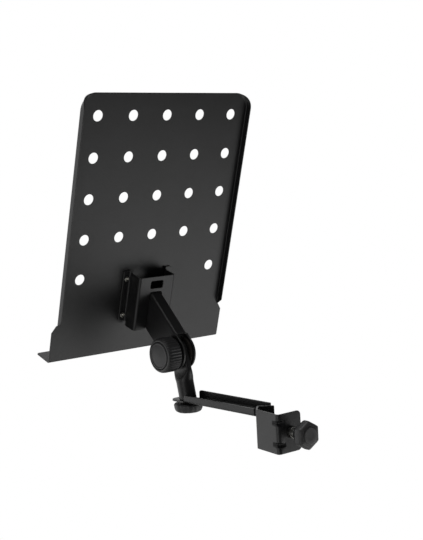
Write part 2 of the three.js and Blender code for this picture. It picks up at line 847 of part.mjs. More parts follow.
// The ledge that carries the music, folded up towards the front from the desk's bottom edge.
function deskLedge() {
  const fold = deskFold + deskThickness / 2;
  const outward = [-Math.cos(ledgeTilt), Math.sin(ledgeTilt)];
  const end = [deskMiddle + outward[0] * ledgeDepth, fold + outward[1] * ledgeDepth];
  const half = deskWidth / 2 + earReach;
  const section = foldedStrip([[deskMiddle, deskFold + deskFoldRadius * 6], [deskMiddle, fold], end],
    deskThickness, deskFoldRadius);
  const ledge = extrudeX(section, -half, half);
  const place = new THREE.Matrix4().makeBasis(
    new THREE.Vector3(1, 0, 0),
    new THREE.Vector3(0, outward[0], outward[1]),
    new THREE.Vector3(0, -outward[1], outward[0]),
  ).setPosition(0, deskMiddle, fold);
  const corners = [1, -1].map((side) => {
    const waste = extrusion(cornerWaste(side * half, ledgeDepth, side, 1, ledgeCornerRadius), 6);
    return solidFrom(waste.translate(0, 0, -3).applyMatrix4(place));
  });
  return cutAll(ledge, corners);
}

function deskHoles() {
  const holes = [];
  const through = (x, z, radius) => (
    rod(radius, deskFront - 1, deskBack + 1, 'y').translate([x, 0, z])
  );
  const reach = (holeColumns - 1) / 2;
  for (let row = 0; row <= fullHoleRows; row += 1) {
    for (let column = -reach; column <= reach; column += 1) {
      const edge = Math.abs(column) === reach;
      if (row < fullHoleRows || edge) {
        holes.push(through(column * holePitch, deskTop - topRowDrop - row * holePitch, holeRadius));
      }
    }
  }
  for (const { x, z } of rivetPlaces()) {
    holes.push(through(x, z, rivetShankRadius + gap));
  }
  return holes;
}

function deskPanel() {
  const plate = extrudeY(deskOutline(), deskFront, deskBack, smallSteps);
  const sheet = joinAll([plate, deskSideFlange(1), deskSideFlange(-1), deskLedge()]);
  return cutAll(sheet, deskHoles());
}

// Assembly

function clampGroup() {
  const group = new THREE.Group();
  group.add(
    meshOf('clamp_arm', clampArm(), 'blackSteel'),
    meshOf('clamp_jaw', clampJaw(), 'blackSteel'),
    meshOf('clamp_nut', clampNut(), 'brightSteel'),
    meshOf('clamp_pad', clampPad(), 'blackPlastic'),
    meshOf('clamp_screw', clampScrew(), 'brightSteel'),
    meshOf('clamp_knob', clampKnob(), 'blackPlastic'),
  );
  return group;
}

function deskGroup() {
  const group = new THREE.Group();
  group.add(
    meshOf('desk_panel', deskPanel(), 'deskSteel'),
    meshOf('desk_socket', deskSocket(), 'blackSteel'),
  );
  rivetPlaces().forEach((place, i) => {
    group.add(meshOf(`socket_rivet_${i + 1}`, rivet(place), 'brightSteel'));
  });
  return group;
}

function headGroup() {
  const group = new THREE.Group();
  group.add(
    meshOf('head_neck', headNeck(), 'blackSteel'),
    meshOf('head_tongue', headTongue(), 'blackSteel'),
    meshOf('friction_disc_1', frictionDisc(1), 'blackWasher'),
    meshOf('friction_disc_2', frictionDisc(-1), 'blackWasher'),
    meshOf('tilt_bolt', tiltBolt(), 'brightSteel'),
    meshOf('tilt_washer', tiltWasher(), 'brightSteel'),
    meshOf('tilt_knob', tiltKnob(), 'blackPlastic'),
    meshOf('tilt_knob_insert', tiltKnobInsert(), 'brightSteel'),
    meshOf('tilt_knob_cap', tiltKnobCap(), 'blackPlastic'),
    deskGroup(),
  );
  group.position.set(0, -riserSetback, tiltHeight);
  group.rotation.x = -deskLean;
  return group;
}

function riserGroup() {
  const group = new THREE.Group();
  group.add(
    meshOf('riser_tube', riserTube(), 'blackSteel'),
    meshOf('tube_plug', tubePlug(), 'brightSteel'),
    meshOf('swivel_washer', swivelWasher(), 'blackWasher'),
    meshOf('swivel_stud', swivelStud(), 'brightSteel'),
    meshOf('swivel_knob', swivelKnob(), 'blackPlastic'),
    headGroup(),
  );
  group.position.set(0, -armReach, 0);
  return group;
}

const musicStand = new THREE.Group();
musicStand.name = 'music_stand';
musicStand.add(clampGroup(), riserGroup());

export default musicStand;
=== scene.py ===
# Clamp-on music stand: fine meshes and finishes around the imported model.
import json
import math
import bpy
import bmesh
from mathutils import Matrix, Vector
from mathutils.geometry import delaunay_2d_cdt


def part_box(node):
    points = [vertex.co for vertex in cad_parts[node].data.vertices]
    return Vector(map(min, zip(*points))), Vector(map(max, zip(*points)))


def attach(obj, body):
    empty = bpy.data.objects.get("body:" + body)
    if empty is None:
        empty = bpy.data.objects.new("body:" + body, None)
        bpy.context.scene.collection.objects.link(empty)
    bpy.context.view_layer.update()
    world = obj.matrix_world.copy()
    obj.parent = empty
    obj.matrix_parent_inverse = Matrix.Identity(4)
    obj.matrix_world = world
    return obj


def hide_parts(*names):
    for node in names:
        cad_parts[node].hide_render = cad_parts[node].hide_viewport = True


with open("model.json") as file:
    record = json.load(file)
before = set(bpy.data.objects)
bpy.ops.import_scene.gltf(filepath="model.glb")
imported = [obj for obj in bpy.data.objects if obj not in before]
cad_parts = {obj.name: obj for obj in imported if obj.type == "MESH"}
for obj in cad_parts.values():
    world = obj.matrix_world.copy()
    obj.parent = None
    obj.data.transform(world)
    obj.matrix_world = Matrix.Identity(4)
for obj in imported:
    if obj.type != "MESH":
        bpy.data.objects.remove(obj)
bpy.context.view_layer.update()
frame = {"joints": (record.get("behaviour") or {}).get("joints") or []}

mm = 0.001
pastAll = 1e3  # millimetres, past every edge
print("stage: frame loaded")


# Places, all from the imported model.

joints = {joint["name"]: joint for joint in frame["joints"]}
tiltAxis = Vector(joints["tilt"]["pos_m"])
riserAxis = Vector(joints["swivel"]["pos_m"])
deskUp = Vector(joints["desk_lift"]["axis"]).normalized()


def placeFrom(origin, xAxis, yAxis, zAxis):
    place = Matrix((xAxis, yAxis, zAxis)).transposed().to_4x4()
    place.translation = origin
    return place


rowX = Vector((1, 0, 0))
clampPlace = Matrix.Identity(4)
swivelPlace = Matrix.Translation((riserAxis.x, riserAxis.y, 0))
headPlace = placeFrom(tiltAxis, rowX, deskUp.cross(rowX), deskUp)
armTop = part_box("clamp_jaw")[1][2] / mm


# Colours and materials.

def linearColour(hexText):
    parts = [int(hexText[i:i + 2], 16) / 255 for i in (1, 3, 5)]
    return [p / 12.92 if p <= 0.04045 else ((p + 0.055) / 1.055) ** 2.4 for p in parts] + [1.0]


def perMetre(featureMm):
    # noise scale that gives features of this size
    return 1 / (featureMm * mm)


def addNode(tree, kind, settings=None, inputs=None, stops=()):
    # stops are a colour ramp's places and hex colours
    node = tree.nodes.new(kind)
    for name, value in (settings or {}).items():
        setattr(node, name, value)
    for name, value in (inputs or {}).items():
        if isinstance(value, bpy.types.NodeSocket):
            tree.links.new(value, node.inputs[name])
        else:
            node.inputs[name].default_value = value
    for i, (position, hexText) in enumerate(stops):
        element = node.color_ramp.elements[i] if i < 2 else node.color_ramp.elements.new(position)
        element.position = position
        element.color = linearColour(hexText)
    return node


def startMaterial(name):
    material = bpy.data.materials.new(name)
    material.use_nodes = True
    material.node_tree.nodes.clear()
    return material, material.node_tree


def finishMaterial(tree, inputs):
    shader = addNode(tree, "ShaderNodeBsdfPrincipled", inputs=inputs)
    addNode(tree, "ShaderNodeOutputMaterial", inputs={"Surface": shader.outputs["BSDF"]})


powderCoat = {
    "dark": "#101011", "light": "#18181a", "worn": "#4c4c4b", "speckle": 0.12, "wear": (0.25, 0.75),
    "roughness": (0.34, 0.46), "peelMm": 1.7, "peelHighMm": 0.05, "grainMm": 0.75, "grainHighMm": 0.02,
    "cloudMm": 34, "wearMm": 5,
}


def powderCoatedSteel(name, look):
    # Epoxy-polyester powder baked on steel: soft satin black with a fine orange peel,
    # thinner and paler in patches where it was drawn thin over edges.
    material, tree = startMaterial(name)
    place = addNode(tree, "ShaderNodeTexCoord").outputs["Object"]
    cloud = addNode(tree, "ShaderNodeTexNoise", inputs={
        "Vector": place, "Scale": perMetre(look["cloudMm"]), "Detail": 3.0}).outputs["Fac"]
    body = addNode(tree, "ShaderNodeValToRGB", inputs={"Fac": cloud},
                   stops=[(0.35, look["dark"]), (0.68, look["light"])]).outputs["Color"]
    # the powder's own speckle, drawn coarser than life so that it shows
    grain = addNode(tree, "ShaderNodeTexNoise", inputs={
        "Vector": place, "Scale": perMetre(look["grainMm"]), "Detail": 1.0}).outputs["Fac"]
    speckle = addNode(tree, "ShaderNodeMapRange", inputs={"Value": grain, "To Max": look["speckle"]})
    speckled = addNode(tree, "ShaderNodeMix", {"data_type": "RGBA"}, {
        0: speckle.outputs["Result"], 6: body, 7: linearColour(look["worn"])}).outputs[2]
    # the rims of each piece are rubbed in patches
    rim = addNode(tree, "ShaderNodeAttribute", {"attribute_name": "rim"}).outputs["Fac"]
    patches = addNode(tree, "ShaderNodeTexNoise", inputs={
        "Vector": place, "Scale": perMetre(look["wearMm"]), "Detail": 3.0}).outputs["Fac"]
    low, high = look["wear"]
    wear = addNode(tree, "ShaderNodeMapRange", inputs={"Value": patches, "To Min": low, "To Max": high})
    mask = addNode(tree, "ShaderNodeMath", {"operation": "MULTIPLY"}, {0: rim, 1: wear.outputs["Result"]})
    colour = addNode(tree, "ShaderNodeMix", {"data_type": "RGBA"}, {
        0: mask.outputs["Value"], 6: speckled, 7: linearColour(look["worn"])}).outputs[2]
    # orange peel is finer than a millimetre in life
    peel = addNode(tree, "ShaderNodeTexNoise", inputs={
        "Vector": place, "Scale": perMetre(look["peelMm"])}).outputs["Fac"]
    low, high = look["roughness"]
    gloss = addNode(tree, "ShaderNodeMapRange", inputs={"Value": peel, "To Min": low, "To Max": high})
    coarse = addNode(tree, "ShaderNodeBump", inputs={
        "Height": peel, "Distance": look["peelHighMm"] * mm, "Strength": 0.5})
    fine = addNode(tree, "ShaderNodeBump", inputs={
        "Height": grain, "Distance": look["grainHighMm"] * mm, "Strength": 0.5,
        "Normal": coarse.outputs["Normal"]})
    finishMaterial(tree, {"Base Color": colour, "Roughness": gloss.outputs["Result"],
                          "Normal": fine.outputs["Normal"], "IOR": 1.5})
    return material


# the pale grey and its share make the painted highlight on the knobs' rim chamfers
mouldedPlastic = {
    "dark": "#252526", "light": "#303031", "highlightGrey": "#5a5a5a", "highlightShare": 0.5,
    "roughness": (0.40, 0.56), "grainMm": 0.8, "grainHighMm": 0.06, "cloudMm": 14,
}


def mouldedNylon(name, look):
    # Glass-filled nylon from a spark-eroded mould: even black, finely grained, dull sheen,
    # with a painted highlight along the marked rim chamfer rings.
    material, tree = startMaterial(name)
    place = addNode(tree, "ShaderNodeTexCoord").outputs["Object"]
    cloud = addNode(tree, "ShaderNodeTexNoise", inputs={
        "Vector": place, "Scale": perMetre(look["cloudMm"]), "Detail": 3.0}).outputs["Fac"]
    body = addNode(tree, "ShaderNodeValToRGB", inputs={"Fac": cloud},
                   stops=[(0.3, look["dark"]), (0.7, look["light"])]).outputs["Color"]
    rim = addNode(tree, "ShaderNodeAttribute", {"attribute_name": "rim"}).outputs["Fac"]
    # the marked rim rings are painted paler: a painted highlight on the chamfer
    highlightMask = addNode(tree, "ShaderNodeMapRange", inputs={"Value": rim, "To Max": look["highlightShare"]})
    colour = addNode(tree, "ShaderNodeMix", {"data_type": "RGBA"}, {
        0: highlightMask.outputs["Result"], 6: body, 7: linearColour(look["highlightGrey"])}).outputs[2]
    grain = addNode(tree, "ShaderNodeTexNoise", inputs={
        "Vector": place, "Scale": perMetre(look["grainMm"])}).outputs["Fac"]
    low, high = look["roughness"]
    gloss = addNode(tree, "ShaderNodeMapRange", inputs={"Value": grain, "To Min": low, "To Max": high})
    eroded = addNode(tree, "ShaderNodeBump", inputs={
        "Height": grain, "Distance": look["grainHighMm"] * mm, "Strength": 0.6})
    finishMaterial(tree, {"Base Color": colour, "Roughness": gloss.outputs["Result"],
                          "Normal": eroded.outputs["Normal"], "IOR": 1.53})
    return material


zincPlate = {
    "dark": "#7c7b77", "light": "#b4b3ae", "tint": "#a39f8f", "tintShare": 0.4,
    "roughness": (0.26, 0.42), "lineMm": 1.2, "lineHighMm": 0.03, "patchMm": 6,
}
greyZinc = zincPlate | {"dark": "#6c6c6a", "light": "#a4a4a1", "tint": "#8f8e88"}


def zincPlatedSteel(name, look, stretch):
    # Bright zinc on turned or rolled steel: silvery with fine tool marks round the axis
    # and a faint yellow passivation in patches.
    material, tree = startMaterial(name)
    place = addNode(tree, "ShaderNodeTexCoord").outputs["Object"]
    turned = addNode(tree, "ShaderNodeMapping", inputs={"Vector": place, "Scale": stretch}).outputs["Vector"]
    lines = addNode(tree, "ShaderNodeTexNoise", inputs={
        "Vector": turned, "Scale": perMetre(look["lineMm"])}).outputs["Fac"]
    body = addNode(tree, "ShaderNodeValToRGB", inputs={"Fac": lines},
                   stops=[(0.3, look["dark"]), (0.7, look["light"])]).outputs["Color"]
    patches = addNode(tree, "ShaderNodeTexNoise", inputs={
        "Vector": place, "Scale": perMetre(look["patchMm"])}).outputs["Fac"]
    yellowed = addNode(tree, "ShaderNodeMapRange", inputs={"Value": patches, "To Max": look["tintShare"]})
    colour = addNode(tree, "ShaderNodeMix", {"data_type": "RGBA"}, {
        0: yellowed.outputs["Result"], 6: body, 7: linearColour(look["tint"])}).outputs[2]
    low, high = look["roughness"]
    gloss = addNode(tree, "ShaderNodeMapRange", inputs={"Value": lines, "To Min": low, "To Max": high})
    marks = addNode(tree, "ShaderNodeBump", inputs={
        "Height": lines, "Distance": look["lineHighMm"] * mm, "Strength": 0.5})
    finishMaterial(tree, {"Base Color": colour, "Roughness": gloss.outputs["Result"],
                          "Normal": marks.outputs["Normal"], "Metallic": 1.0})
    return material


fibreBoard = {
    "dark": "#15120f", "light": "#2a241f", "fibreMm": 1.6, "fibreHighMm": 0.08, "roughness": (0.75, 0.95),
}


def pressedFibre(name, look):
    # Vulcanised fibre: dull brown-black board with matted short fibres.
    material, tree = startMaterial(name)
    place = addNode(tree, "ShaderNodeTexCoord").outputs["Object"]
    fibres = addNode(tree, "ShaderNodeTexNoise", inputs={
        "Vector": place, "Scale": perMetre(look["fibreMm"]), "Detail": 4.0, "Roughness": 0.7}).outputs["Fac"]
    colour = addNode(tree, "ShaderNodeValToRGB", inputs={"Fac": fibres},
                     stops=[(0.3, look["dark"]), (0.7, look["light"])]).outputs["Color"]
    low, high = look["roughness"]
    dull = addNode(tree, "ShaderNodeMapRange", inputs={"Value": fibres, "To Min": low, "To Max": high})
    matted = addNode(tree, "ShaderNodeBump", inputs={
        "Height": fibres, "Distance": look["fibreHighMm"] * mm, "Strength": 0.7})
    finishMaterial(tree, {"Base Color": colour, "Roughness": dull.outputs["Result"],
                          "Normal": matted.outputs["Normal"]})
    return material


materials = {
    "desk_sheet": powderCoatedSteel("powderCoatedSheetSteel", powderCoat),
    "black_steel": powderCoatedSteel("powderCoatedFoldedSteel", powderCoat | {"cloudMm": 16}),
    "rivet_steel": zincPlatedSteel("zincPlatedRivetSteel", zincPlate, (1, 1, 1)),
    "bright_steel": zincPlatedSteel("zincPlatedTurnedSteel", greyZinc, (1, 6, 1)),
    "black_plastic": mouldedNylon("mouldedGlassFilledNylon", mouldedPlastic),
    "friction_fibre": pressedFibre("pressedVulcanisedFibre", fibreBoard),
}
print("stage: materials made")


# Making meshes.

def finishPiece(name, shape, place, body, node, slot):
    # a shape is points in millimetres in the place's own frame, faces, and a mark per point, 1 where a
    # sheet's edge is worn and where a knob's rim carries a painted highlight
    points, faces, wearAndHighlight = shape
    mesh = bpy.data.meshes.new(name)
    mesh.from_pydata([place @ (Vector(p) * mm) for p in points], [], faces)
    attribute = mesh.attributes.new("rim", "FLOAT", "POINT")
    attribute.data.foreach_set("value", [float(r) for r in wearAndHighlight])
    work = bmesh.new()
    work.from_mesh(mesh)
    bmesh.ops.remove_doubles(work, verts=work.verts, dist=1e-7)
    bmesh.ops.recalc_face_normals(work, faces=work.faces)
    work.to_mesh(mesh)
    work.free()
    mesh.polygons.foreach_set("use_smooth", [True] * len(mesh.polygons))
    mesh.materials.append(materials[slot])
    piece = bpy.data.objects.new(name, mesh)
    bpy.context.scene.collection.objects.link(piece)
    # flat faces keep flat shading beside their rounded edges
    weighted = piece.modifiers.new("evenNormals", "WEIGHTED_NORMAL")
    weighted.mode = "FACE_AREA"
    weighted.weight = 100
    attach(piece, body)
    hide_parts(node)


def leftOf(direction):
    return Vector((-direction.y, direction.x))


def turnedBy(vector, angle):
    c, s = math.cos(angle), math.sin(angle)
    return Vector((vector.x * c - vector.y * s, vector.x * s + vector.y * c))


def foldPath(corners, radius, bendSteps=8):
    # The middle line of a folded strip. Returns its developed length, the developed places of
    # its bends, and a function from a developed distance to a point and its left normal.
    corners = [Vector(c) for c in corners]
    pieces, length, bends = [], 0.0, []
    here = corners[0]
    for i in range(1, len(corners)):
        ahead = (corners[i] - corners[i - 1]).normalized()
        if i + 1 < len(corners):
            after = (corners[i + 1] - corners[i]).normalized()
            turn = math.atan2(ahead.cross(after), ahead.dot(after))
            trim = radius * math.tan(abs(turn) / 2)
        else:
            turn, trim = 0.0, 0.0
        straight = (corners[i] - here).length - trim
        pieces.append((length, straight, here, ahead, 0.0))
        length += straight
        here = here + ahead * straight
        if turn:
            pieces.append((length, radius * abs(turn), here, ahead, math.copysign(1 / radius, turn)))
            bends.append((length, length + radius * abs(turn)))
            length += radius * abs(turn)
            here = corners[i] + after * trim

    def at(distance):
        for start, span, origin, direction, curl in pieces:
            if distance <= start + span or (start, span) == pieces[-1][:2]:
                along = distance - start
                if curl == 0.0:
                    return origin + direction * along, leftOf(direction)
                angle = along * curl
                centre = origin + leftOf(direction) / curl
                normal = turnedBy(leftOf(direction), angle)
                return centre - normal / curl, normal

    creases = [a + (b - a) * k / bendSteps for a, b in bends for k in range(bendSteps + 1)]
    return length, bends, creases, at


def uprightStrip(at):
    # folds a strip that stands upright: u runs along it and v up
    def fold(u, v, w):
        point, normal = at(u)
        return (point.x + normal.x * w, point.y + normal.y * w, v)
    return fold


def roundedLoop(corners, steps=5):
    # A closed loop of (corner, radius) pairs; a radius of 0 keeps the corner sharp.
    loop = []
    for i, (corner, radius) in enumerate(corners):
        here = Vector(corner)
        back = (Vector(corners[i - 1][0]) - here).normalized()
        ahead = (Vector(corners[(i + 1) % len(corners)][0]) - here).normalized()
        if radius <= 0:
            loop.append(here)
            continue
        half = back.angle(ahead) / 2
        reach = radius / math.tan(half)
        centre = here + (back + ahead).normalized() * (radius / math.sin(half))
        first = here + back * reach - centre
        turn = math.pi - 2 * half
        side = 1 if back.cross(ahead) < 0 else -1
        for k in range(steps + 1):
            loop.append(centre + turnedBy(first, side * turn * k / steps))
    return loop


def circleLoop(centre, radius, steps=40):
    # clockwise, as a hole is
    return [Vector((centre[0] + radius * math.cos(2 * math.pi * k / steps),
                    centre[1] - radius * math.sin(2 * math.pi * k / steps))) for k in range(steps)]


def signedArea(loop):
    return sum(a.cross(b) for a, b in zip(loop, loop[1:] + loop[:1])) / 2


def insideLoop(point, loop):
    inside = False
    for a, b in zip(loop, loop[1:] + loop[:1]):
        if (a.y > point.y) != (b.y > point.y):
            if point.x < (b.x - a.x) * (point.y - a.y) / (b.y - a.y) + a.x:
                inside = not inside
    return inside


def crossLoop(loop, creases):
    # adds a point wherever a crease line crosses the loop; a crease is (axis, value, low, high)
    result = []
    for a, b in zip(loop, loop[1:] + loop[:1]):
        cuts = []
        for axis, value, low, high in creases:
            other = 1 - axis
            if (a[axis] - value) * (b[axis] - value) < 0:
                share = (value - a[axis]) / (b[axis] - a[axis])
                if low <= a[other] + (b[other] - a[other]) * share <= high:
                    cuts.append(share)
        result.append(a)
        result += [a.lerp(b, share) for share in sorted(cuts) if 1e-6 < share < 1 - 1e-6]
    return result


def insetLoop(loop, amount):
    # moves each point to the left of the loop's direction
    result = []
    for i, here in enumerate(loop):
        before = (here - loop[i - 1]).normalized()
        after = (loop[(i + 1) % len(loop)] - here).normalized()
        bisector = leftOf(before) + leftOf(after)
        bisector.normalize()
        result.append(here + bisector * amount / max(0.3, bisector.dot(leftOf(after))))
    return result


def sheetMesh(outline, holes, creases, thickness, rounding, fold, extraPoints=()):
    # A sheet drawn flat and then folded: the flat outline and holes get rounded edges, the two
    # faces are triangulated with lines along the creases, and fold(u, v, w) bends each point.
    outline = [Vector(p) for p in outline]
    if signedArea(outline) < 0:
        outline.reverse()
    loops = [crossLoop(outline, creases)] + [crossLoop(hole, creases) for hole in holes]
    half = thickness / 2
    r = min(rounding, half * 0.95)
    slant = r * (1 - math.sqrt(0.5))
    upperEdge = [(r, half), (slant, half - slant), (0, half - r)]
    profile = upperEdge + [(inset, -w) for inset, w in reversed(upperEdge)]
    points, faces, wearAndHighlight = [], [], []

    def addPoint(p, w, rim):
        points.append(fold(p.x, p.y, w))
        wearAndHighlight.append(rim)
        return len(points) - 1

    ringIds, faceLoops = [], []
    for loop in loops:
        rings = []
        for inset, w in profile:
            moved = insetLoop(loop, inset) if inset else loop
            rings.append([addPoint(p, w, 0.0 if inset == r else 1.0) for p in moved])
        ringIds.append(rings)
        faceLoops.append(insetLoop(loop, r))
        count = len(loop)
        for upper, lower in zip(rings, rings[1:]):
            for k in range(count):
                j = (k + 1) % count
                faces.append((upper[k], lower[k], lower[j], upper[j]))

    flat = [p for loop in faceLoops for p in loop]
    extra = [Vector(p) for p in extraPoints if insideLoop(Vector(p), faceLoops[0])]
    edges, start = [], 0
    for loop in faceLoops:
        count = len(loop)
        edges += [(start + k, start + (k + 1) % count) for k in range(count)]
        start += count
    for axis, value, low, high in creases:
        other = 1 - axis
        on = [i for i, p in enumerate(flat + extra)
              if abs(p[axis] - value) < 1e-4 and low - 1 <= p[other] <= high + 1]
        on.sort(key=lambda i: (flat + extra)[i][other])
        edges += list(zip(on, on[1:]))
    result = delaunay_2d_cdt(flat + extra, edges, [], 0, 1e-5)
    flatPoints, triangles, origins = result[0], result[2], result[3]
    upperIds = [i for rings in ringIds for i in rings[0]]
    lowerIds = [i for rings in ringIds for i in rings[-1]]
    topOf, lowOf = {}, {}
    for i, p in enumerate(flatPoints):
        known = [j for j in origins[i] if j < len(flat)]
        if known:
            topOf[i], lowOf[i] = upperIds[known[0]], lowerIds[known[0]]
        else:
            topOf[i], lowOf[i] = addPoint(p, half, 0.0), addPoint(p, -half, 0.0)
    for triangle in triangles:
        middle = sum((flatPoints[i] for i in triangle), Vector((0, 0))) / len(triangle)
        if not insideLoop(middle, faceLoops[0]) or any(insideLoop(middle, h) for h in faceLoops[1:]):
            continue
        a, b, c = (flatPoints[i] for i in triangle[:3])
        ordered = list(triangle) if (b - a).cross(c - a) > 0 else list(reversed(triangle))
        faces.append(tuple(topOf[i] for i in ordered))
        faces.append(tuple(lowOf[i] for i in reversed(ordered)))
    return points, faces, wearAndHighlight


def turnedMesh(profile, axis, steps=64, shape=None, highlightRings=()):
    # Revolves (radius, distance) pairs round x, y or z. shape(radius, index, angle) may change the
    # radius, as for ribs. The last argument lists the profile points marked in the rim attribute; the nylon
    # knobs show them as a painted highlight.
    rings, points, wearAndHighlight, faces = [], [], [], []
    around = {"x": lambda r, d, c, s: (d, r * c, r * s),
              "y": lambda r, d, c, s: (r * s, d, r * c),
              "z": lambda r, d, c, s: (r * c, r * s, d)}[axis]
    for index, (radius, distance) in enumerate(profile):
        if radius < 1e-9:
            points.append(around(0, distance, 1, 0))
            wearAndHighlight.append(0.0)
            rings.append([len(points) - 1] * steps)
            continue
        ring = []
        for k in range(steps):
            angle = 2 * math.pi * k / steps
            reach = shape(radius, index, angle) if shape else radius
            points.append(around(reach, distance, math.cos(angle), math.sin(angle)))
            wearAndHighlight.append(1.0 if index in highlightRings else 0.0)
            ring.append(len(points) - 1)
        rings.append(ring)
    closed = profile[0][0] > 1e-9
    pairs = list(zip(rings, rings[1:])) + ([(rings[-1], rings[0])] if closed else [])
    for first, second in pairs:
        for k in range(steps):
            j = (k + 1) % steps
            corners = []
            for i in (first[k], second[k], second[j], first[j]):
                if i not in corners:
                    corners.append(i)
            if len(corners) > 2:
                faces.append(tuple(corners))
    return points, faces, wearAndHighlight


def softProfile(profile, radius=0.4, steps=3, closed=False):
    # rounds the corners of a turned profile; a corner on the axis or nearly straight stays
    sideShare, nearlyStraight = 0.45, 3.0
    points = [Vector(p) for p in profile]
    result = []
    last = len(points) - 1
    for i, here in enumerate(points):
        if here.x < 1e-9 or (not closed and i in (0, last)):
            result.append(tuple(here))
            continue
        back = points[i - 1] - here
        ahead = points[(i + 1) % len(points)] - here
        angle = back.angle(ahead)
        if angle > nearlyStraight:
            result.append(tuple(here))
            continue
        half = angle / 2
        reach = min(radius, back.length * sideShare, ahead.length * sideShare)
        size = reach * math.tan(half)
        centre = here + (back.normalized() + ahead.normalized()).normalized() * (size / math.sin(half))
        first = here + back.normalized() * reach - centre
        side = 1 if back.cross(ahead) < 0 else -1
        for k in range(steps + 1):
            result.append(tuple(centre + turnedBy(first, side * (math.pi - angle) * k / steps)))
    return result


def ringProfile(inner, outer, low, high, radius=0.4):
    return softProfile([(inner, low), (outer, low), (outer, high), (inner, high)], radius, closed=True)


def ringWalls(rows, steps, closed=False):
    # faces between stacked rings of points
    walls = []
    for a in range(rows if closed else rows - 1):
        b = (a + 1) % rows
        for k in range(steps):
            j = (k + 1) % steps
            walls.append((a * steps + k, a * steps + j, b * steps + j, b * steps + k))
    return walls


def tidyLoop(points, gap=1e-4):
    # drops points that fall on the one before
    result = []
    for p in points:
        p = Vector(p)
        if not result or (p - result[-1]).length > gap:
            result.append(p)
    if (result[0] - result[-1]).length < gap:
        result.pop()
    return result


# Desk.

desk = {
    "back": -75.0, "thickness": 1.2, "width": 226.0, "height": 298.0, "bottom": -26.0,
    "foldRadius": 1.6, "flange": 7.5, "earReach": 6.0, "earHeight": 43.0, "earSlope": 8.0, "slit": 0.3,
    "topCorner": 18.0, "lipFade": 75.0, "ledge": 25.0, "ledgeTilt": 2.0, "ledgeCorner": 3.0,
    "pitch": 45.0, "holeRadius": 6.0, "topRowDrop": 24.3, "edgeRound": 0.3,
}
rivets = {"x": 28.4, "low": 20.3, "high": 63.0, "shank": 2.0, "head": 3.2, "headHeight": 1.0, "bore": 1.2,
          "hole": 2.15}


def rivetPlaces():
    return [(x, z) for z in (rivets["low"], rivets["high"]) for x in (rivets["x"], -rivets["x"])]


def lipShare(degrees):
    # the side lip runs round the top corner and fades out there
    share = min(1.0, max(0.0, degrees / desk["lipFade"]))
    return 1 - share * share * (3 - 2 * share)


def bent(past, turn, w):
    # across and back from the fold's start, for a sheet bent through this turn
    radius = desk["foldRadius"]
    angle = min(max(past, 0.0) / radius, turn)
    rest = past - radius * angle
    return (radius * math.sin(angle) + math.cos(angle) * rest - math.sin(angle) * w,
            radius * (1 - math.cos(angle)) + math.sin(angle) * rest + math.cos(angle) * w)


def deskFold(u, v, w):
    d = desk
    middle = d["back"] - d["thickness"] / 2
    radius = d["foldRadius"]
    bendStart = d["width"] / 2 - d["thickness"] / 2 - radius
    earTop = d["bottom"] + d["earHeight"]
    across, up = abs(u) - (d["width"] / 2 - d["topCorner"]), v - (d["bottom"] + d["height"] - d["topCorner"])
    side = math.copysign(1, u)
    if across > 0 and up > 0:
        corner = math.atan2(up, across)
        inner = d["topCorner"] - d["thickness"] / 2 - radius
        out, back = bent(math.hypot(across, up) - inner, math.pi / 2 * lipShare(math.degrees(corner)), w)
        out += inner
        x, z = abs(u) - across + out * math.cos(corner), v - up + out * math.sin(corner)
        return (side * x, middle + back, z)
    if v > earTop + d["slit"] / 2 and abs(u) > bendStart:
        out, back = bent(abs(u) - bendStart, math.pi / 2, w)
        return (side * (bendStart + out), middle + back, v)
    turn = math.radians(90 + d["ledgeTilt"])
    foldLine = d["bottom"] + d["thickness"] / 2 + radius * math.tan(turn / 2)
    if v < foldLine:
        past = foldLine - v
        angle = min(past / radius, turn)
        rest = max(0.0, past - radius * turn)
        y = middle - radius * (1 - math.cos(angle)) + math.cos(angle) * w - math.sin(angle) * rest
        z = foldLine - radius * math.sin(angle) - math.sin(angle) * w - math.cos(angle) * rest
        return (u, y, z)
    return (u, middle + w, v)


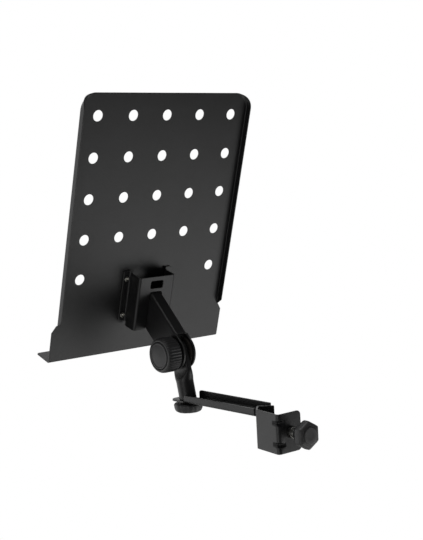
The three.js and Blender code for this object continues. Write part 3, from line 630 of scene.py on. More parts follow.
def deskSheet():
    d = desk
    half, radius, t = d["width"] / 2, d["foldRadius"], d["thickness"]
    bendStart = half - t / 2 - radius
    bendEnd = bendStart + radius * math.pi / 2
    tip = bendEnd + d["flange"] - (radius - t / 2) - t / 2 - 0.1
    top = d["bottom"] + d["height"]
    flangeTop = top - d["topCorner"]
    earTop = d["bottom"] + d["earHeight"]
    flangeLow = earTop + d["slit"]
    ear = half + d["earReach"]
    turn = math.radians(90 + d["ledgeTilt"])
    foldLine = d["bottom"] + t / 2 + radius * math.tan(turn / 2)
    ledgeEnd = foldLine - radius * turn - (d["ledge"] - radius * math.tan(turn / 2))
    right = [
        ((ear, ledgeEnd), d["ledgeCorner"]),
        ((ear, earTop - d["earSlope"]), 2.0),
        ((half + 0.4, earTop), 0.4),
        ((bendStart - 0.4, earTop), 0.0),
        ((bendStart - 0.4, flangeLow), 0.0),
        ((bendEnd + 0.2, flangeLow), 0.8),
        ((tip, flangeLow + tip - bendEnd), 2.0),
    ]
    cornerAt = half - d["topCorner"]
    flatReach, lipReach = d["topCorner"], tip - cornerAt
    cornerSteps = 18
    for k in range(cornerSteps + 1):
        degrees = 90 * k / cornerSteps
        share = lipShare(degrees)
        reach = lipReach * share + flatReach * (1 - share)
        spot = (cornerAt + reach * math.cos(math.radians(degrees)),
                flangeTop + reach * math.sin(math.radians(degrees)))
        right.append((spot, 0.0))
    left = [((-p[0], p[1]), r) for p, r in reversed(right)]
    outline = roundedLoop(right + left, steps=10)
    holes = []
    for row in range(5):
        for column in range(-2, 3):
            if row < 4 or abs(column) == 2:
                centre = (column * d["pitch"], top - d["topRowDrop"] - row * d["pitch"])
                holes.append(circleLoop(centre, d["holeRadius"], 48))
    holes += [circleLoop(p, rivets["hole"], 20) for p in rivetPlaces()]
    creases = []
    for k in range(9):
        for side in (1, -1):
            u = side * (bendStart + (bendEnd - bendStart) * k / 8)
            creases.append((0, u, earTop + d["slit"] / 2, flangeTop))
        creases.append((1, foldLine - radius * turn * k / 8, -ear - 1, ear + 1))
    # points where the straight folds end and round the fold in each top corner
    extra = [(u, flangeTop) for axis, u, _, _ in creases if axis == 0]
    for side in (1, -1):
        for i in range(1, 30):
            angle = math.radians(3 * i)
            for k in range(8):
                reach = flatReach - t / 2 - radius + (bendEnd - bendStart) * k / 6
                x, z = cornerAt + reach * math.cos(angle), flangeTop + reach * math.sin(angle)
                extra.append((side * x, z))
    finishPiece("deskSheet", sheetMesh(outline, holes, creases, t, d["edgeRound"], deskFold, extra),
                headPlace, "desk", "desk_panel", "desk_sheet")


def tubularRivet(number, x, z):
    r = rivets
    back = desk["back"] + 0.3 + socket["thickness"]
    front = desk["back"] - desk["thickness"]
    profile = [
        (r["bore"], front - r["headHeight"] * 0.6),
        (r["bore"] + 0.5, front - r["headHeight"]),
        (r["head"] - 0.9, front - r["headHeight"] * 0.9),
        (r["head"], front - 0.02),
        (r["shank"], front - 0.02),
        (r["shank"], back + 0.02),
        (r["head"], back + 0.02),
        (r["head"] - 0.15, back + r["headHeight"] * 0.55),
        (r["head"] - 0.8, back + r["headHeight"]),
        (r["bore"] + 0.45, back + r["headHeight"] * 0.95),
        (r["bore"], back + r["headHeight"] * 0.4),
    ]
    place = headPlace @ Matrix.Translation((x * mm, 0, z * mm))
    finishPiece(f"tubularRivet{number}", turnedMesh(softProfile(profile, 0.3, closed=True), "y", 32),
                place, "desk", f"socket_rivet_{number}", "rivet_steel")


# Socket on the desk's back.

socket = {
    "thickness": 1.5, "foldRadius": 2.2, "halfWidth": 24.5, "depth": 20.5, "flangeReach": 33.0,
    "bottom": 7.0, "top": 69.5, "flangeBottom": 13.0, "flangeTop": 72.5,
    "slotHalf": 8.6, "slotTop": 51.6, "windowLow": 55.6, "windowHeight": 9.0, "windowHalf": 8.6,
}


def socketPath():
    s = socket
    wall = s["halfWidth"] - s["thickness"] / 2
    face = desk["back"] + s["depth"] - s["thickness"] / 2
    flange = desk["back"] + 0.05 + s["thickness"] / 2
    reach = s["flangeReach"]
    return foldPath([(reach, flange), (wall, flange), (wall, face), (-wall, face), (-wall, flange),
                     (-reach, flange)], s["foldRadius"])


def deskSocket():
    s = socket
    length, bends, creaseAt, at = socketPath()
    centre = length / 2
    step = bends[0][1] + 0.4
    high = s["flangeTop"]
    left = [
        ((0, s["flangeBottom"]), 2.5),
        ((step, s["flangeBottom"]), 0.8),
        ((step, s["bottom"]), 2.0),
        ((centre - s["slotHalf"], s["bottom"]), 1.5),
        ((centre - s["slotHalf"], s["slotTop"]), 3.0),
    ]
    right = [((length - p[0], p[1]), r) for p, r in reversed(left)]
    upper = [
        ((length, high), 2.5), ((length - step, high), 0.8), ((length - step, s["top"]), 1.5),
        ((step, s["top"]), 1.5), ((step, high), 0.8), ((0, high), 2.5),
    ]
    outline = roundedLoop(left + right + upper)
    low, high = s["windowLow"], s["windowLow"] + s["windowHeight"]
    near, away = centre - s["windowHalf"], centre + s["windowHalf"]
    window = [((near, low), 2.0), ((near, high), 2.0), ((away, high), 2.0), ((away, low), 2.0)]
    holes = [roundedLoop(window)]
    for x, z in rivetPlaces():
        u = s["flangeReach"] - x if x > 0 else length - (s["flangeReach"] + x)
        holes.append(circleLoop((u, z), rivets["hole"], 20))
    creases = [(0, u, -pastAll, pastAll) for u in creaseAt]
    finishPiece("hatSocket", sheetMesh(outline, holes, creases, s["thickness"], 0.35, uprightStrip(at)),
                headPlace, "desk", "desk_socket", "black_steel")


# Head: tongue, neck, discs and bolt.

head = {
    "tongueThickness": 2.0, "tongueFold": 2.2, "tongueBottom": 9.5, "tongueTop": 53.9,
    "neckAngle": 28.0, "cheekRadius": 19.0, "cheekLower": 18.0, "cheekInner": 6.1,
    "cheekThickness": 2.0, "neckFold": 2.2, "webEnd": 12.0, "edgeRound": 0.4,
    "discInner": 3.8, "discThickness": 2.0, "discRadius": 16.5,
    "boltRadius": 4.0, "boltHead": 8.5, "boltHeadHeight": 4.2, "boltRim": 0.18,
    "washerRadius": 9.5, "washerThickness": 1.4,
}
cheekOuter = head["cheekInner"] + head["cheekThickness"]
tongueFace = desk["back"] + socket["depth"] - socket["thickness"] - 0.3


def headTongue():
    h = head
    t = h["tongueThickness"]
    half = socket["halfWidth"] - socket["thickness"] - 0.5 - t / 2
    face = tongueFace - t / 2
    opening = desk["back"] + 1
    length, bends, creaseAt, at = foldPath([(half, opening), (half, face), (-half, face), (-half, opening)],
                                           h["tongueFold"])
    low, high = h["tongueBottom"], h["tongueTop"]
    outline = roundedLoop([((0, low), 3.0), ((length, low), 3.0), ((length, high), 3.0), ((0, high), 3.0)])
    creases = [(0, u, -pastAll, pastAll) for u in creaseAt]
    finishPiece("socketTongue", sheetMesh(outline, [], creases, t, 0.4, uprightStrip(at)),
                headPlace, "head", "head_tongue", "black_steel")


neckTurn = math.radians(head["neckAngle"])
neckAlong = Vector((-math.cos(neckTurn), math.sin(neckTurn)))
neckOut = Vector((math.sin(neckTurn), math.cos(neckTurn)))


def headNeck():
    h = head
    t = h["cheekThickness"]
    cheek = h["cheekInner"] + t / 2
    web = h["cheekRadius"] - t / 2
    low = -h["cheekLower"]
    length, bends, creaseAt, at = foldPath([(cheek, low), (cheek, web), (-cheek, web), (-cheek, low)],
                                           h["neckFold"])
    bendStart, bendEnd = bends[0]
    centre = length / 2
    openEnd = h["webEnd"]
    slit = 0.8
    upper = bendStart + low

    def tongueAt(n):
        # where the neck meets the tongue's face
        return (-tongueFace + neckOut.x * n) / -neckAlong.x

    # one half of the flat pattern, from the middle of the web's desk end to the web's free end
    topReach = h["cheekRadius"] - low
    deskEnd = tongueAt(web + t / 2)
    steps = 26
    roundEnd = []
    for k in range(steps + 1):
        angle = math.radians(90 + 180 * k / steps)
        radius = h["cheekRadius"] + (h["cheekLower"] - h["cheekRadius"]) * k / steps
        roundEnd.append(Vector((radius * math.sin(angle) - low, radius * math.cos(angle))))
    half = [Vector((bendStart - 0.4, deskEnd)), Vector((bendStart - 0.4, tongueAt(upper - 0.4))),
            Vector((0.0, tongueAt(low)))]
    half += list(reversed(roundEnd))
    half += [Vector((topReach, openEnd - slit)), Vector((bendStart - 0.4, openEnd - slit)),
             Vector((bendStart - 0.4, openEnd))]
    mirrored = [Vector((length - p.x, p.y)) for p in reversed(half)]
    outline = tidyLoop(half + mirrored)
    creases = [(0, u, openEnd - 0.1, pastAll) for u in creaseAt]
    boltHoles = [circleLoop((-low, 0), h["boltRadius"] + 0.2, 32),
                 circleLoop((length + low, 0), h["boltRadius"] + 0.2, 32)]

    def fold(u, v, w):
        if v < openEnd - 0.1 and u < centre:
            point, normal = Vector((cheek, low + u)), Vector((-1, 0))
        elif v < openEnd - 0.1:
            point, normal = Vector((-cheek, low + length - u)), Vector((1, 0))
        else:
            point, normal = at(u)
        x = point.x + normal.x * w
        n = point.y + normal.y * w
        place = neckAlong * v + neckOut * n
        return (x, place.x, place.y)

    finishPiece("neckChannel", sheetMesh(outline, boltHoles, creases, t, h["edgeRound"], fold),
                headPlace, "head", "head_neck", "black_steel")


def frictionDiscs():
    h = head
    for number, side in ((1, 1), (2, -1)):
        near, far = side * h["discInner"], side * (h["discInner"] + h["discThickness"])
        profile = ringProfile(h["boltRadius"] + 0.3, h["discRadius"], near, far)
        finishPiece(f"frictionDisc{number}", turnedMesh(profile, "x", 56),
                    headPlace, "head", f"friction_disc_{number}", "friction_fibre")


threadRow = 0.156  # millimetres, eight rows to one turn of the thread


def threaded(radius, distance, angle, pitch=1.25, depth=0.62):
    # a rolled 60 degree thread: the radius rises and falls along a helix
    phase = (distance / pitch - angle / (2 * math.pi)) % 1.0
    return radius - depth * abs(2 * phase - 1) ** 1.2


def tiltBolt():
    h = head
    start = -cheekOuter - 0.05
    dome = [(0, start - h["boltHeadHeight"])]
    for k in range(1, 9):
        angle = math.radians(90 * k / 8)
        rise = h["boltHeadHeight"] * (h["boltRim"] + (1 - h["boltRim"]) * math.cos(angle))
        dome.append((h["boltHead"] * math.sin(angle), start - rise))
    end = cheekOuter + 2 * h["washerThickness"] + 6
    profile = dome + [(h["boltHead"], start), (h["boltRadius"], start), (h["boltRadius"], end - 0.6),
                      (h["boltRadius"] - 0.6, end), (0, end)]
    finishPiece("cupHeadBolt", turnedMesh(profile, "x", 40),
                headPlace, "head", "tilt_bolt", "bright_steel")


def tiltWasher():
    h = head
    low, high = cheekOuter + 0.1, cheekOuter + 0.2 + h["washerThickness"]
    profile = ringProfile(h["boltRadius"] + 0.3, h["washerRadius"], low, high, 0.35)
    finishPiece("tiltWasher", turnedMesh(profile, "x", 48),
                headPlace, "head", "tilt_washer", "bright_steel")


# Tilt knob.

tiltKnob = {
    "radius": 19.2, "start": cheekOuter + 2.0, "depth": 18.5, "ribs": 36, "ribDepth": 0.8,
    "capRadius": 14.8, "capDepth": 1.4, "capRise": 0.6, "insertRadius": 6.6, "insertLength": 10.0,
}


def tiltKnobPieces():
    k = tiltKnob
    start, end = k["start"], k["start"] + k["depth"]
    outer, bore = k["radius"], k["insertRadius"] + 0.1
    ringGroove = k["capRadius"] + 0.25
    profile = [
        (0, start + k["insertLength"]),
        (bore, start + k["insertLength"]),
        (bore, start + 0.3),
        (outer - 4.2, start + 0.2),
        (outer - 2.6, start),
        (outer - 0.9, start + 0.5),
        (outer - 0.25, start + 1.6),
        (outer, start + 2.6),
        (outer, end - 5.0),
        (outer - 0.1, end - 4.2),
        (outer - 0.5, end - 2.0),
        (outer - 1.3, end - 0.8),
        (outer - 2.2, end - 0.15),
        (outer - 3.0, end),
        (ringGroove + 0.6, end - 0.1),
        (ringGroove, end - 0.8),
        (ringGroove, end - k["capDepth"] - 0.2),
        (0, end - k["capDepth"] - 0.2),
    ]
    ribbed = {i: 1.0 for i in range(6, 10)} | {5: 0.5, 10: 0.4}

    def ribs(radius, index, angle):
        wave = 0.5 + 0.5 * math.cos(angle * k["ribs"])
        return radius - k["ribDepth"] * ribbed.get(index, 0.0) * (1 - wave ** 0.55)

    # the front rim chamfer rings get a painted highlight
    finishPiece("tiltKnobBody", turnedMesh(profile, "x", k["ribs"] * 8, ribs, highlightRings=(12, 13)),
                headPlace, "tilt_clamp", "tilt_knob", "black_plastic")

    low, high, edge = end - k["capDepth"], end + k["capRise"], k["capRadius"]
    cap = [(0, low), (edge, low), (edge, high - 0.9), (edge - 0.7, high - 0.1), (edge - 2.0, high - 0.1),
           (edge - 2.5, high - 0.5), (edge - 3.3, high - 0.4), (edge * 0.4, high - 0.1), (0, high)]
    finishPiece("tiltKnobCap", turnedMesh(softProfile(cap, 0.3), "x", 72),
                headPlace, "tilt_clamp", "tilt_knob_cap", "black_plastic")

    insert = ringProfile(head["boltRadius"] + 0.15, k["insertRadius"], start, start + k["insertLength"] - 0.2)
    finishPiece("tiltKnobInsert", turnedMesh(insert, "x", 48),
                headPlace, "tilt_clamp", "tilt_knob_insert", "bright_steel")


# Riser and swivel.

riser = {
    "radius": 9.5, "wall": 1.5, "tangHalf": 3.5, "tangRadius": 13.0,
    "tangLength": 19.5, "blend": 11.0, "plugHeight": 14.0, "screw": 4.0,
    "plateBottom": armTop - 8.4, "plateTop": armTop - 6.4, "footGap": 0.05,
    "washerRadius": 9.0, "washerThickness": 1.4,
    "knobRadius": 16.0, "knobDepth": 10.0, "knobTop": armTop - 10.4,
}
# the tube leans from the swivel to the tilt axis, and its foot is mitred level
swivelFoot = Vector((riserAxis.x, riserAxis.y, riser["plateTop"] * mm))
leanUp = (tiltAxis - swivelFoot).normalized()
leanPlace = placeFrom(tiltAxis, rowX, leanUp.cross(rowX), leanUp)
riserLength = (tiltAxis - swivelFoot).length / mm
leanSlope = (swivelFoot.y - tiltAxis.y) / (tiltAxis.z - swivelFoot.z)


def smoothLow(a, b, blend):
    # the lower of two values with a soft join
    gap = max(blend - abs(a - b), 0) / blend
    return min(a, b) - gap * gap * blend / 4


def mitre(y, height):
    # where a line along the tube at this y meets a level plane this far above the plate
    return -riserLength - y * leanSlope + height / math.cos(math.atan(leanSlope))


def riserTube():
    r = riser
    flatStart = -r["tangLength"]
    roundTop = flatStart - r["blend"]
    steps = 72

    def dieAt(z):
        # the press leaves a scooped face between the flat and the round
        if z >= flatStart:
            return r["tangHalf"]
        share = min(1.0, (flatStart - z) / r["blend"])
        return r["tangHalf"] + (r["radius"] + 1.2 - r["tangHalf"]) * share ** 1.7

    def widthAt(z):
        share = min(1.0, max(0.0, (z - roundTop + 3) / (r["blend"] + 2)))
        share = share * share * (3 - 2 * share)
        return r["radius"] + (r["tangRadius"] - r["radius"]) * share

    def ring(z, width, scale=1.0):
        result = []
        for k in range(steps):
            angle = 2 * math.pi * k / steps
            across = r["radius"] * abs(math.cos(angle))
            thick = smoothLow(across, dieAt(z), 1.6) if z > roundTop - 2 else across
            result.append((math.copysign(max(thick, 0) * scale, math.cos(angle)),
                           width * math.sin(angle), z))
        return result

    def footRing(radius, height):
        result = []
        for k in range(steps):
            angle = 2 * math.pi * k / steps
            y = radius * math.sin(angle)
            result.append((radius * math.cos(angle), y, mitre(y, height)))
        return result

    roundStart = mitre(-r["radius"], 1.5)
    heights = [roundStart + (roundTop - 2 - roundStart) * k / 6 for k in range(1, 7)]
    heights += [roundTop - 2 + (r["blend"] + 4) * k / 22 for k in range(1, 23)]
    heights += [flatStart + 2 - (flatStart + 2) * k / 6 for k in range(1, 7)]
    rings = [footRing(r["radius"] - 0.5, r["footGap"]), footRing(r["radius"], 0.5)]
    rings += [ring(z, widthAt(z)) for z in heights]
    for k in range(1, 15):
        angle = math.radians(90 * k / 14.5)
        rings.append(ring(r["tangRadius"] * math.sin(angle), r["tangRadius"] * math.cos(angle),
                          1 - 0.25 * (k / 14) ** 6))
    points = [p for one in rings for p in one]
    faces = ringWalls(len(rings), steps)
    points.append((0, 0, r["tangRadius"]))
    last = (len(rings) - 1) * steps
    faces += [(last + k, last + (k + 1) % steps, len(points) - 1) for k in range(steps)]
    base = len(points)
    inner = r["radius"] - r["wall"]
    points += footRing(inner, r["footGap"])
    depth = roundTop - 3
    points += [(x, y, depth) for x, y, z in footRing(inner, 0)]
    points.append((0, 0, depth + 3))
    for k in range(steps):
        j = (k + 1) % steps
        faces.append((k, j, base + j, base + k))
        faces.append((base + k, base + j, base + steps + j, base + steps + k))
        faces.append((base + steps + k, base + steps + j, len(points) - 1))
    finishPiece("flattenedTube", (points, faces, [0.0] * len(points)),
                leanPlace, "riser", "riser_tube", "black_steel")


def tubePlug():
    r = riser
    outer, inner = r["radius"] - r["wall"] - 0.3, r["screw"] + 0.1
    steps = 48
    lean = math.atan(leanSlope)
    top = r["plugHeight"]
    # radius, height and whether the ring follows the tube's lean
    rows = [(inner, 0.3, False), (outer - 0.4, 0.3, True), (outer, 0.7, True),
            (outer, top - 0.5, True), (outer - 0.5, top, True), (inner, top, False)]
    points = []
    for radius, height, leans in rows:
        for k in range(steps):
            angle = 2 * math.pi * k / steps
            x, y = radius * math.cos(angle), radius * math.sin(angle)
            if leans:
                y = y / math.cos(lean) - height * leanSlope
            points.append((x, y, r["plateTop"] + height))
    finishPiece("threadedPlug", (points, ringWalls(len(rows), steps, closed=True), [0.0] * len(points)),
                swivelPlace, "riser", "tube_plug", "bright_steel")


def swivelWasher():
    r = riser
    high = r["plateBottom"] - 0.05
    low = high - r["washerThickness"] - 0.3
    profile = ringProfile(r["screw"] + 0.3, r["washerRadius"], low, high)
    finishPiece("swivelWasher", turnedMesh(profile, "z", 48),
                swivelPlace, "riser", "swivel_washer", "friction_fibre")


def swivelStud():
    r = riser
    low = r["knobTop"] - 2.2
    top = r["plateTop"] + r["plugHeight"] - 2
    rows = int((top - 0.8 - low) / threadRow)
    shank = [(r["screw"], low + (top - 0.8 - low) * k / rows) for k in range(rows + 1)]
    headEnd = [(0, low - 3.4), (6.0, low - 3.4), (6.4, low - 2.9), (6.4, low)]
    profile = headEnd + shank + [(3.2, top), (0, top)]

    def shape(radius, index, angle):
        if len(headEnd) < index < len(headEnd) + rows:
            return threaded(radius, profile[index][1], angle)
        return radius

    finishPiece("swivelStud", turnedMesh(profile, "z", 28, shape),
                swivelPlace, "swivel_clamp", "swivel_stud", "bright_steel")


def swivelKnob():
    r = riser
    top, radius = r["knobTop"], r["knobRadius"]
    bottom = top - r["knobDepth"]
    profile = [
        (0, bottom + 0.8), (4.6, bottom + 0.8), (5.4, bottom + 0.1), (9.5, bottom),
        (radius - 3.9, bottom + 0.35), (radius - 2.3, bottom + 1.2), (radius - 1.2, bottom + 2.6),
        (radius - 0.5, bottom + 4.6), (radius - 0.15, bottom + 6.6), (radius, bottom + 8.0),
        (radius - 0.1, bottom + 8.9), (radius - 0.7, bottom + 9.6), (radius - 1.8, top - 0.05),
        (radius - 3.4, top), (6.9, top), (6.4, top - 0.6), (4.4, top - 2.2), (0, top - 2.2),
    ]
    lobes = 12

    def shape(distance, index, angle):
        if 4 <= index <= 12:
            return distance - 0.35 * (0.5 - 0.5 * math.cos(angle * lobes)) ** 3
        return distance

    finishPiece("swivelKnob", turnedMesh(profile, "z", lobes * 10, shape),
                swivelPlace, "swivel_clamp", "swivel_knob", "black_plastic")


# Arm.

arm = {
    "width": 24.0, "thickness": 2.0, "foldRadius": 2.6, "top": armTop, "bottom": armTop - 8.4,
    "farRise": 2.4, "tip": 18.0, "tipCorner": 8.0, "flangeStart": 7.0, "corner": 3.0, "flangeEnd": -7.2,
}


def channelArm():
    a = arm
    t = a["thickness"]
    wall = a["width"] / 2 - t / 2
    middle = a["bottom"] + t / 2
    length, bends, creaseAt, at = foldPath([(wall, a["top"]), (wall, middle), (-wall, middle),
                                            (-wall, a["top"] + a["farRise"])], a["foldRadius"])
    nearFold, farFold = bends[0], bends[1]
    centre = (nearFold[1] + farFold[0]) / 2
    axis = swivelPlace.translation.y / mm
    start = axis + a["flangeStart"]
    tip = axis - a["tip"]
    half = a["width"] / 2
    slit = 0.8
    vee = apexY - (jaw["thickness"] / 2 + 0.1) * math.sqrt(2)
    nearWeb, farWeb = nearFold[1] - 0.2, farFold[0] + 0.2
    corners = [
        ((0, a["flangeEnd"]), 0.8),
        ((0, start), a["corner"]),
        ((nearWeb, start), 0.3),
        ((nearWeb, start - slit), 0.3),
        ((centre - half, start - slit), 0.6),
        ((centre - half, tip), a["tipCorner"]),
        ((centre + half, tip), a["tipCorner"]),
        ((centre + half, start - slit), 0.6),
        ((farWeb, start - slit), 0.3),
        ((farWeb, start), 0.3),
        ((length, start), a["corner"]),
        ((length, a["flangeEnd"]), 0.8),
        ((farWeb, a["flangeEnd"]), 0.2),
        ((centre, vee), 1.5),
        ((nearWeb, a["flangeEnd"]), 0.2),
    ]
    outline = roundedLoop(corners, steps=8)
    creases = [(0, u, start - 0.1, pastAll) for u in creaseAt]
    studHole = circleLoop((centre, axis), riser["screw"] + 0.3, 32)

    def fold(u, v, w):
        if v < start - 0.1:
            return (centre - u, v, middle + w)
        point, normal = at(u)
        return (point.x + normal.x * w, v, point.y + normal.y * w)

    finishPiece("channelArm", sheetMesh(outline, [studHole], creases, t, 0.4, fold),
                clampPlace, "arm", "clamp_arm", "black_steel")


# Clamp jaw.

jaw = {
    "thickness": 2.0, "foldRadius": 2.6, "halfHeight": armTop, "grip": 9.5, "halfWidth": 12.0,
    "wing": 33.2, "wingNear": 17.0, "wingFar": -13.0, "wingCorner": 4.5, "nutHole": 5.1,
    "dartHeight": 10.8, "dartReach": 8.0, "dartHalf": 3.0, "dartDepth": 4.2,
}
apexY = -(jaw["grip"] + jaw["thickness"] / 2) * math.sqrt(2)


def foldedJaw():
    j = jaw
    t = j["thickness"]
    veeEnd = apexY + j["halfWidth"]
    corners = [(-j["halfWidth"], veeEnd), (0, apexY), (j["halfWidth"], veeEnd),
               (j["wingNear"], j["wing"]), (j["wingFar"], j["wing"])]
    length, bends, creaseAt, at = foldPath(corners, j["foldRadius"])
    half = j["halfHeight"]
    outline = roundedLoop([((0, -half), 1.0), ((length, -half), j["wingCorner"]),
                           ((length, half), j["wingCorner"]), ((0, half), 1.0)], steps=8)
    holes = [circleLoop((length + j["wingFar"], 0), j["nutHole"], 36)]
    creases = [(0, u, -pastAll, pastAll) for u in creaseAt]
    wingFold = sum(bends[2]) / 2
    inward = Vector((-1, -1)).normalized()
    reach, tall = j["dartReach"], j["dartHalf"]
    extra = []
    bendStart, bendEnd = bends[2]
    columns = [u for u in creaseAt if bendStart - 0.01 < u < bendEnd + 0.01]
    columns += [wingFold + side * (bendEnd - wingFold + 0.45 * i) for side in (1, -1) for i in range(1, 15)]
    for side in (1, -1):
        extra += [(u, side * j["dartHeight"] + k * tall / 8) for u in columns for k in range(-8, 9)]

    def fold(u, v, w):
        point, normal = at(u)
        spot = point + normal * w
        off = abs(u - wingFold) / reach
        rise = abs(abs(v) - j["dartHeight"]) / tall
        if off < 1 and rise < 1:
            push = j["dartDepth"] * (1 - off) * (1 - rise ** 2)
            spot = spot + inward * push
        return (spot.x, spot.y, v)

    finishPiece("foldedJaw", sheetMesh(outline, holes, creases, t, 0.45, fold, extra),
                clampPlace, "arm", "clamp_jaw", "black_steel")


# Clamp screw with its nut, pad and knob.

clamp = {
    "screw": 4.0, "collar": 6.0, "collarHeight": 4.0, "rim": 6.2, "neck": 5.0, "rimHeight": 1.4,
    "pad": 7.5, "padThickness": 4.5, "socketRadius": 3.2, "socketDepth": 2.4,
    "knobRadius": 14.0, "knobDepth": 19.0, "standoff": 8.0, "lobes": 6, "lobeHeight": 0.8,
}
wingInner = jaw["wing"] - jaw["thickness"] / 2
wingOuter = jaw["wing"] + jaw["thickness"] / 2
knobBack = wingOuter + clamp["standoff"]


def flangedNut():
    c = clamp
    bore = c["screw"] + 0.15
    low = wingInner - c["rimHeight"]
    profile = [(bore, low), (c["rim"], low), (c["rim"], wingInner - 0.02), (c["neck"], wingInner - 0.02),
               (c["neck"], wingOuter + 0.02), (c["collar"], wingOuter + 0.02),
               (c["collar"], wingOuter + c["collarHeight"]), (bore + 0.6, wingOuter + c["collarHeight"]),
               (bore, wingOuter + c["collarHeight"] - 0.6)]
    finishPiece("flangedNut", turnedMesh(softProfile(profile, 0.4, closed=True), "y", 48),
                clampPlace, "arm", "clamp_nut", "bright_steel")


def pressurePad():
    c = clamp
    front, back = jaw["grip"], jaw["grip"] + c["padThickness"]
    profile = [(0, front + 0.25), (3.0, front + 0.25), (3.6, front + 0.02), (c["pad"] - 1.0, front + 0.02),
               (c["pad"] - 0.2, front + 0.6), (c["pad"], front + 1.4), (c["pad"], back - 1.6),
               (c["pad"] - 0.8, back - 0.5), (c["pad"] - 2.4, back), (c["socketRadius"] + 0.3, back),
               (c["socketRadius"], back - 0.3), (c["socketRadius"], back - c["socketDepth"]),
               (0, back - c["socketDepth"])]
    finishPiece("pressurePad", turnedMesh(profile, "y", 48),
                clampPlace, "clamp_follower", "clamp_pad", "black_plastic")


def clampScrew():
    c = clamp
    back = jaw["grip"] + c["padThickness"]
    start, end = back + 1.4, knobBack + 1.0
    rows = int((end - start) / threadRow)
    shank = [(c["screw"], start + (end - start) * k / rows) for k in range(rows + 1)]
    tip = [(0, back - c["socketDepth"] + 0.1), (2.2, back - c["socketDepth"] + 0.1), (2.8, back - 1.6),
           (2.8, back + 0.3), (3.2, back + 0.5)]
    headEnd = knobBack + c["knobDepth"] - 4.3
    profile = tip + shank + [(c["screw"], headEnd - 4), (6.2, headEnd - 4), (6.2, headEnd), (0, headEnd)]

    def shape(radius, index, angle):
        if len(tip) <= index < len(tip) + rows:
            return threaded(radius, profile[index][1], angle)
        return radius

    finishPiece("clampScrew", turnedMesh(profile, "y", 28, shape),
                clampPlace, "clamp_spindle", "clamp_screw", "bright_steel")


def clampKnob():
    c = clamp
    face = knobBack + c["knobDepth"]
    rim = c["knobRadius"] + c["lobeHeight"]
    profile = [
        (0, knobBack + 1.5), (c["screw"] + 0.2, knobBack + 1.5), (c["screw"] + 0.2, knobBack + 0.3),
        (c["screw"] + 0.6, knobBack), (6.4, knobBack), (7.1, knobBack + 0.6), (7.6, knobBack + 2.2),
        (9.0, knobBack + 4.4), (rim - 2.4, knobBack + 7.4), (rim - 0.9, knobBack + 8.8),
        (rim - 0.2, knobBack + 10.2), (rim, knobBack + 11.4), (rim - 0.1, face - 4.0),
        (rim - 0.6, face - 2.4), (rim - 1.8, face - 1.4), (rim - 3.2, face - 1.05),
        (9.6, face - 1.0), (9.1, face - 0.75), (8.8, face - 0.25), (8.2, face),
        (4.0, face - 0.1), (0, face - 0.15),
    ]
    # how much of the hexagon each point of the profile takes
    amounts = {7: 0.2, 8: 0.6, 9: 0.9, 10: 1, 11: 1, 12: 1, 13: 1, 14: 0.9, 15: 0.8,
               16: 0.35, 17: 0.3, 18: 0.3, 19: 0.25}
    lobeHalf = math.pi / c["lobes"]

    def shape(radius, index, angle):
        share = amounts.get(index, 0.0)
        # a hexagon with rounded corners
        past = (angle + lobeHalf) % (2 * lobeHalf) - lobeHalf
        flat = rim * math.cos(lobeHalf) / math.cos(lobeHalf - abs(past))
        return radius - share * (rim - smoothLow(flat + 0.1, rim, 1.2))

    # the shoulder and face edge rings get a painted highlight
    finishPiece("lobedKnob", turnedMesh(profile, "y", c["lobes"] * 16, shape, highlightRings=(14, 19)),
                clampPlace, "clamp_spindle", "clamp_knob", "black_plastic")


deskSheet()
deskSocket()
for number, (x, z) in enumerate(rivetPlaces(), start=1):
    tubularRivet(number, x, z)
print("stage: desk made")
headTongue()
headNeck()
frictionDiscs()
tiltBolt()
tiltWasher()
tiltKnobPieces()
print("stage: head made")
riserTube()
tubePlug()
swivelWasher()
swivelStud()
swivelKnob()
print("stage: riser made")
channelArm()
foldedJaw()
flangedNut()
pressurePad()
clampScrew()
clampKnob()
print("stage: clamp made")


# Floor, light and camera.

studio = {
    "floorHeight": -0.9, "floorSize": 3.2, "floorHex": "#f2f2f0",
    # the sky is a white backdrop behind the object and dim elsewhere
    "backdrop": (0.0, -0.995, -0.1), "dim": "#484848", "half": "#8c8c8c", "white": "#ffffff",
}
lamps = [
    # name, place, aim, size and power of each soft box
    {"name": "topSoftbox", "place": (0.3, -0.2, 1.9), "aim": (0, -0.1, 0.15), "size": 1.2, "watts": 12},
    {"name": "frontFill", "place": (1.5, 0.5, -0.25), "aim": (0, -0.1, 0.1), "size": 0.9, "watts": 3.6},
    {"name": "lowFill", "place": (-0.75, 0.45, -0.6), "aim": (-0.05, -0.2, 0.1), "size": 0.9, "watts": 3.4},
]
shot = {
    "azimuth": 140.5, "elevation": 4.9, "roll": -3.0, "lens": 76.3, "sensor": 36, "farthest": 100,
    # from the tilt axis to the camera
    "offset": (0.7612, 0.9860, 0.1956),
}


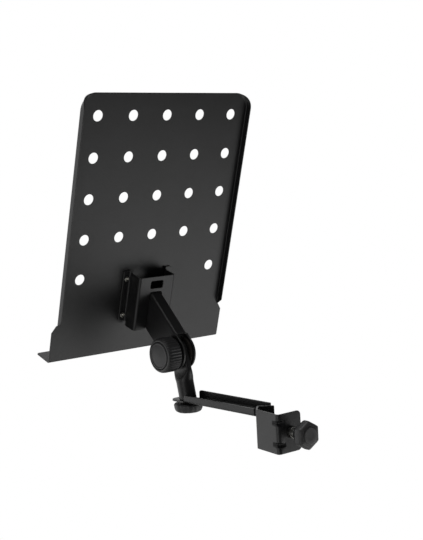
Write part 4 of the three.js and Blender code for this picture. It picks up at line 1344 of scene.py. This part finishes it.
def makeFloor():
    s = studio
    half = s["floorSize"] / 2
    mesh = bpy.data.meshes.new("studioFloor")
    z = s["floorHeight"]
    corners = [(-half, -half, z), (half, -half, z), (half, half, z), (-half, half, z)]
    mesh.from_pydata(corners, [], [(0, 1, 2, 3)])
    floor = bpy.data.objects.new("studioFloor", mesh)
    bpy.context.scene.collection.objects.link(floor)
    material, tree = startMaterial("paintedStudioFloor")
    finishMaterial(tree, {"Base Color": linearColour(s["floorHex"]), "Roughness": 0.9})
    mesh.materials.append(material)


def makeLight():
    world = bpy.data.worlds.new("studio")
    bpy.context.scene.world = world
    world.use_nodes = True
    tree = world.node_tree
    tree.nodes.clear()
    direction = addNode(tree, "ShaderNodeTexCoord").outputs["Generated"]
    facing = addNode(tree, "ShaderNodeVectorMath", {"operation": "DOT_PRODUCT"},
                     {0: direction, 1: studio["backdrop"]}).outputs["Value"]
    sky = addNode(tree, "ShaderNodeValToRGB", inputs={"Fac": facing},
                  stops=[(0.0, studio["dim"]), (0.3, studio["half"]), (0.55, studio["white"])])
    backdrop = addNode(tree, "ShaderNodeBackground", inputs={"Color": sky.outputs["Color"]})
    addNode(tree, "ShaderNodeOutputWorld", inputs={"Surface": backdrop.outputs["Background"]})
    for lamp in lamps:
        light = bpy.data.lights.new(lamp["name"], "AREA")
        light.size = lamp["size"]
        light.energy = lamp["watts"]
        holder = bpy.data.objects.new(lamp["name"], light)
        holder.location = lamp["place"]
        aim = Vector(lamp["aim"]) - Vector(lamp["place"])
        holder.rotation_euler = aim.to_track_quat("-Z", "Y").to_euler()
        bpy.context.scene.collection.objects.link(holder)


def makeCamera():
    data = bpy.data.cameras.new("studioCamera")
    camera = bpy.data.objects.new("studioCamera", data)
    bpy.context.scene.collection.objects.link(camera)
    data.lens = shot["lens"]
    data.sensor_width = shot["sensor"]
    azimuth, elevation = math.radians(shot["azimuth"]), math.radians(shot["elevation"])
    back = Vector((math.sin(azimuth) * math.cos(elevation), -math.cos(azimuth) * math.cos(elevation),
                   math.sin(elevation)))
    turn = (-back).to_track_quat("-Z", "Y").to_matrix() @ Matrix.Rotation(math.radians(shot["roll"]), 3, "Z")
    camera.matrix_world = Matrix.Translation(tiltAxis + Vector(shot["offset"])) @ turn.to_4x4()
    data.clip_end = shot["farthest"]
    bpy.context.scene.camera = camera


makeFloor()
makeLight()
makeCamera()
bpy.context.scene.view_settings.view_transform = "Standard"
print("stage: studio made")
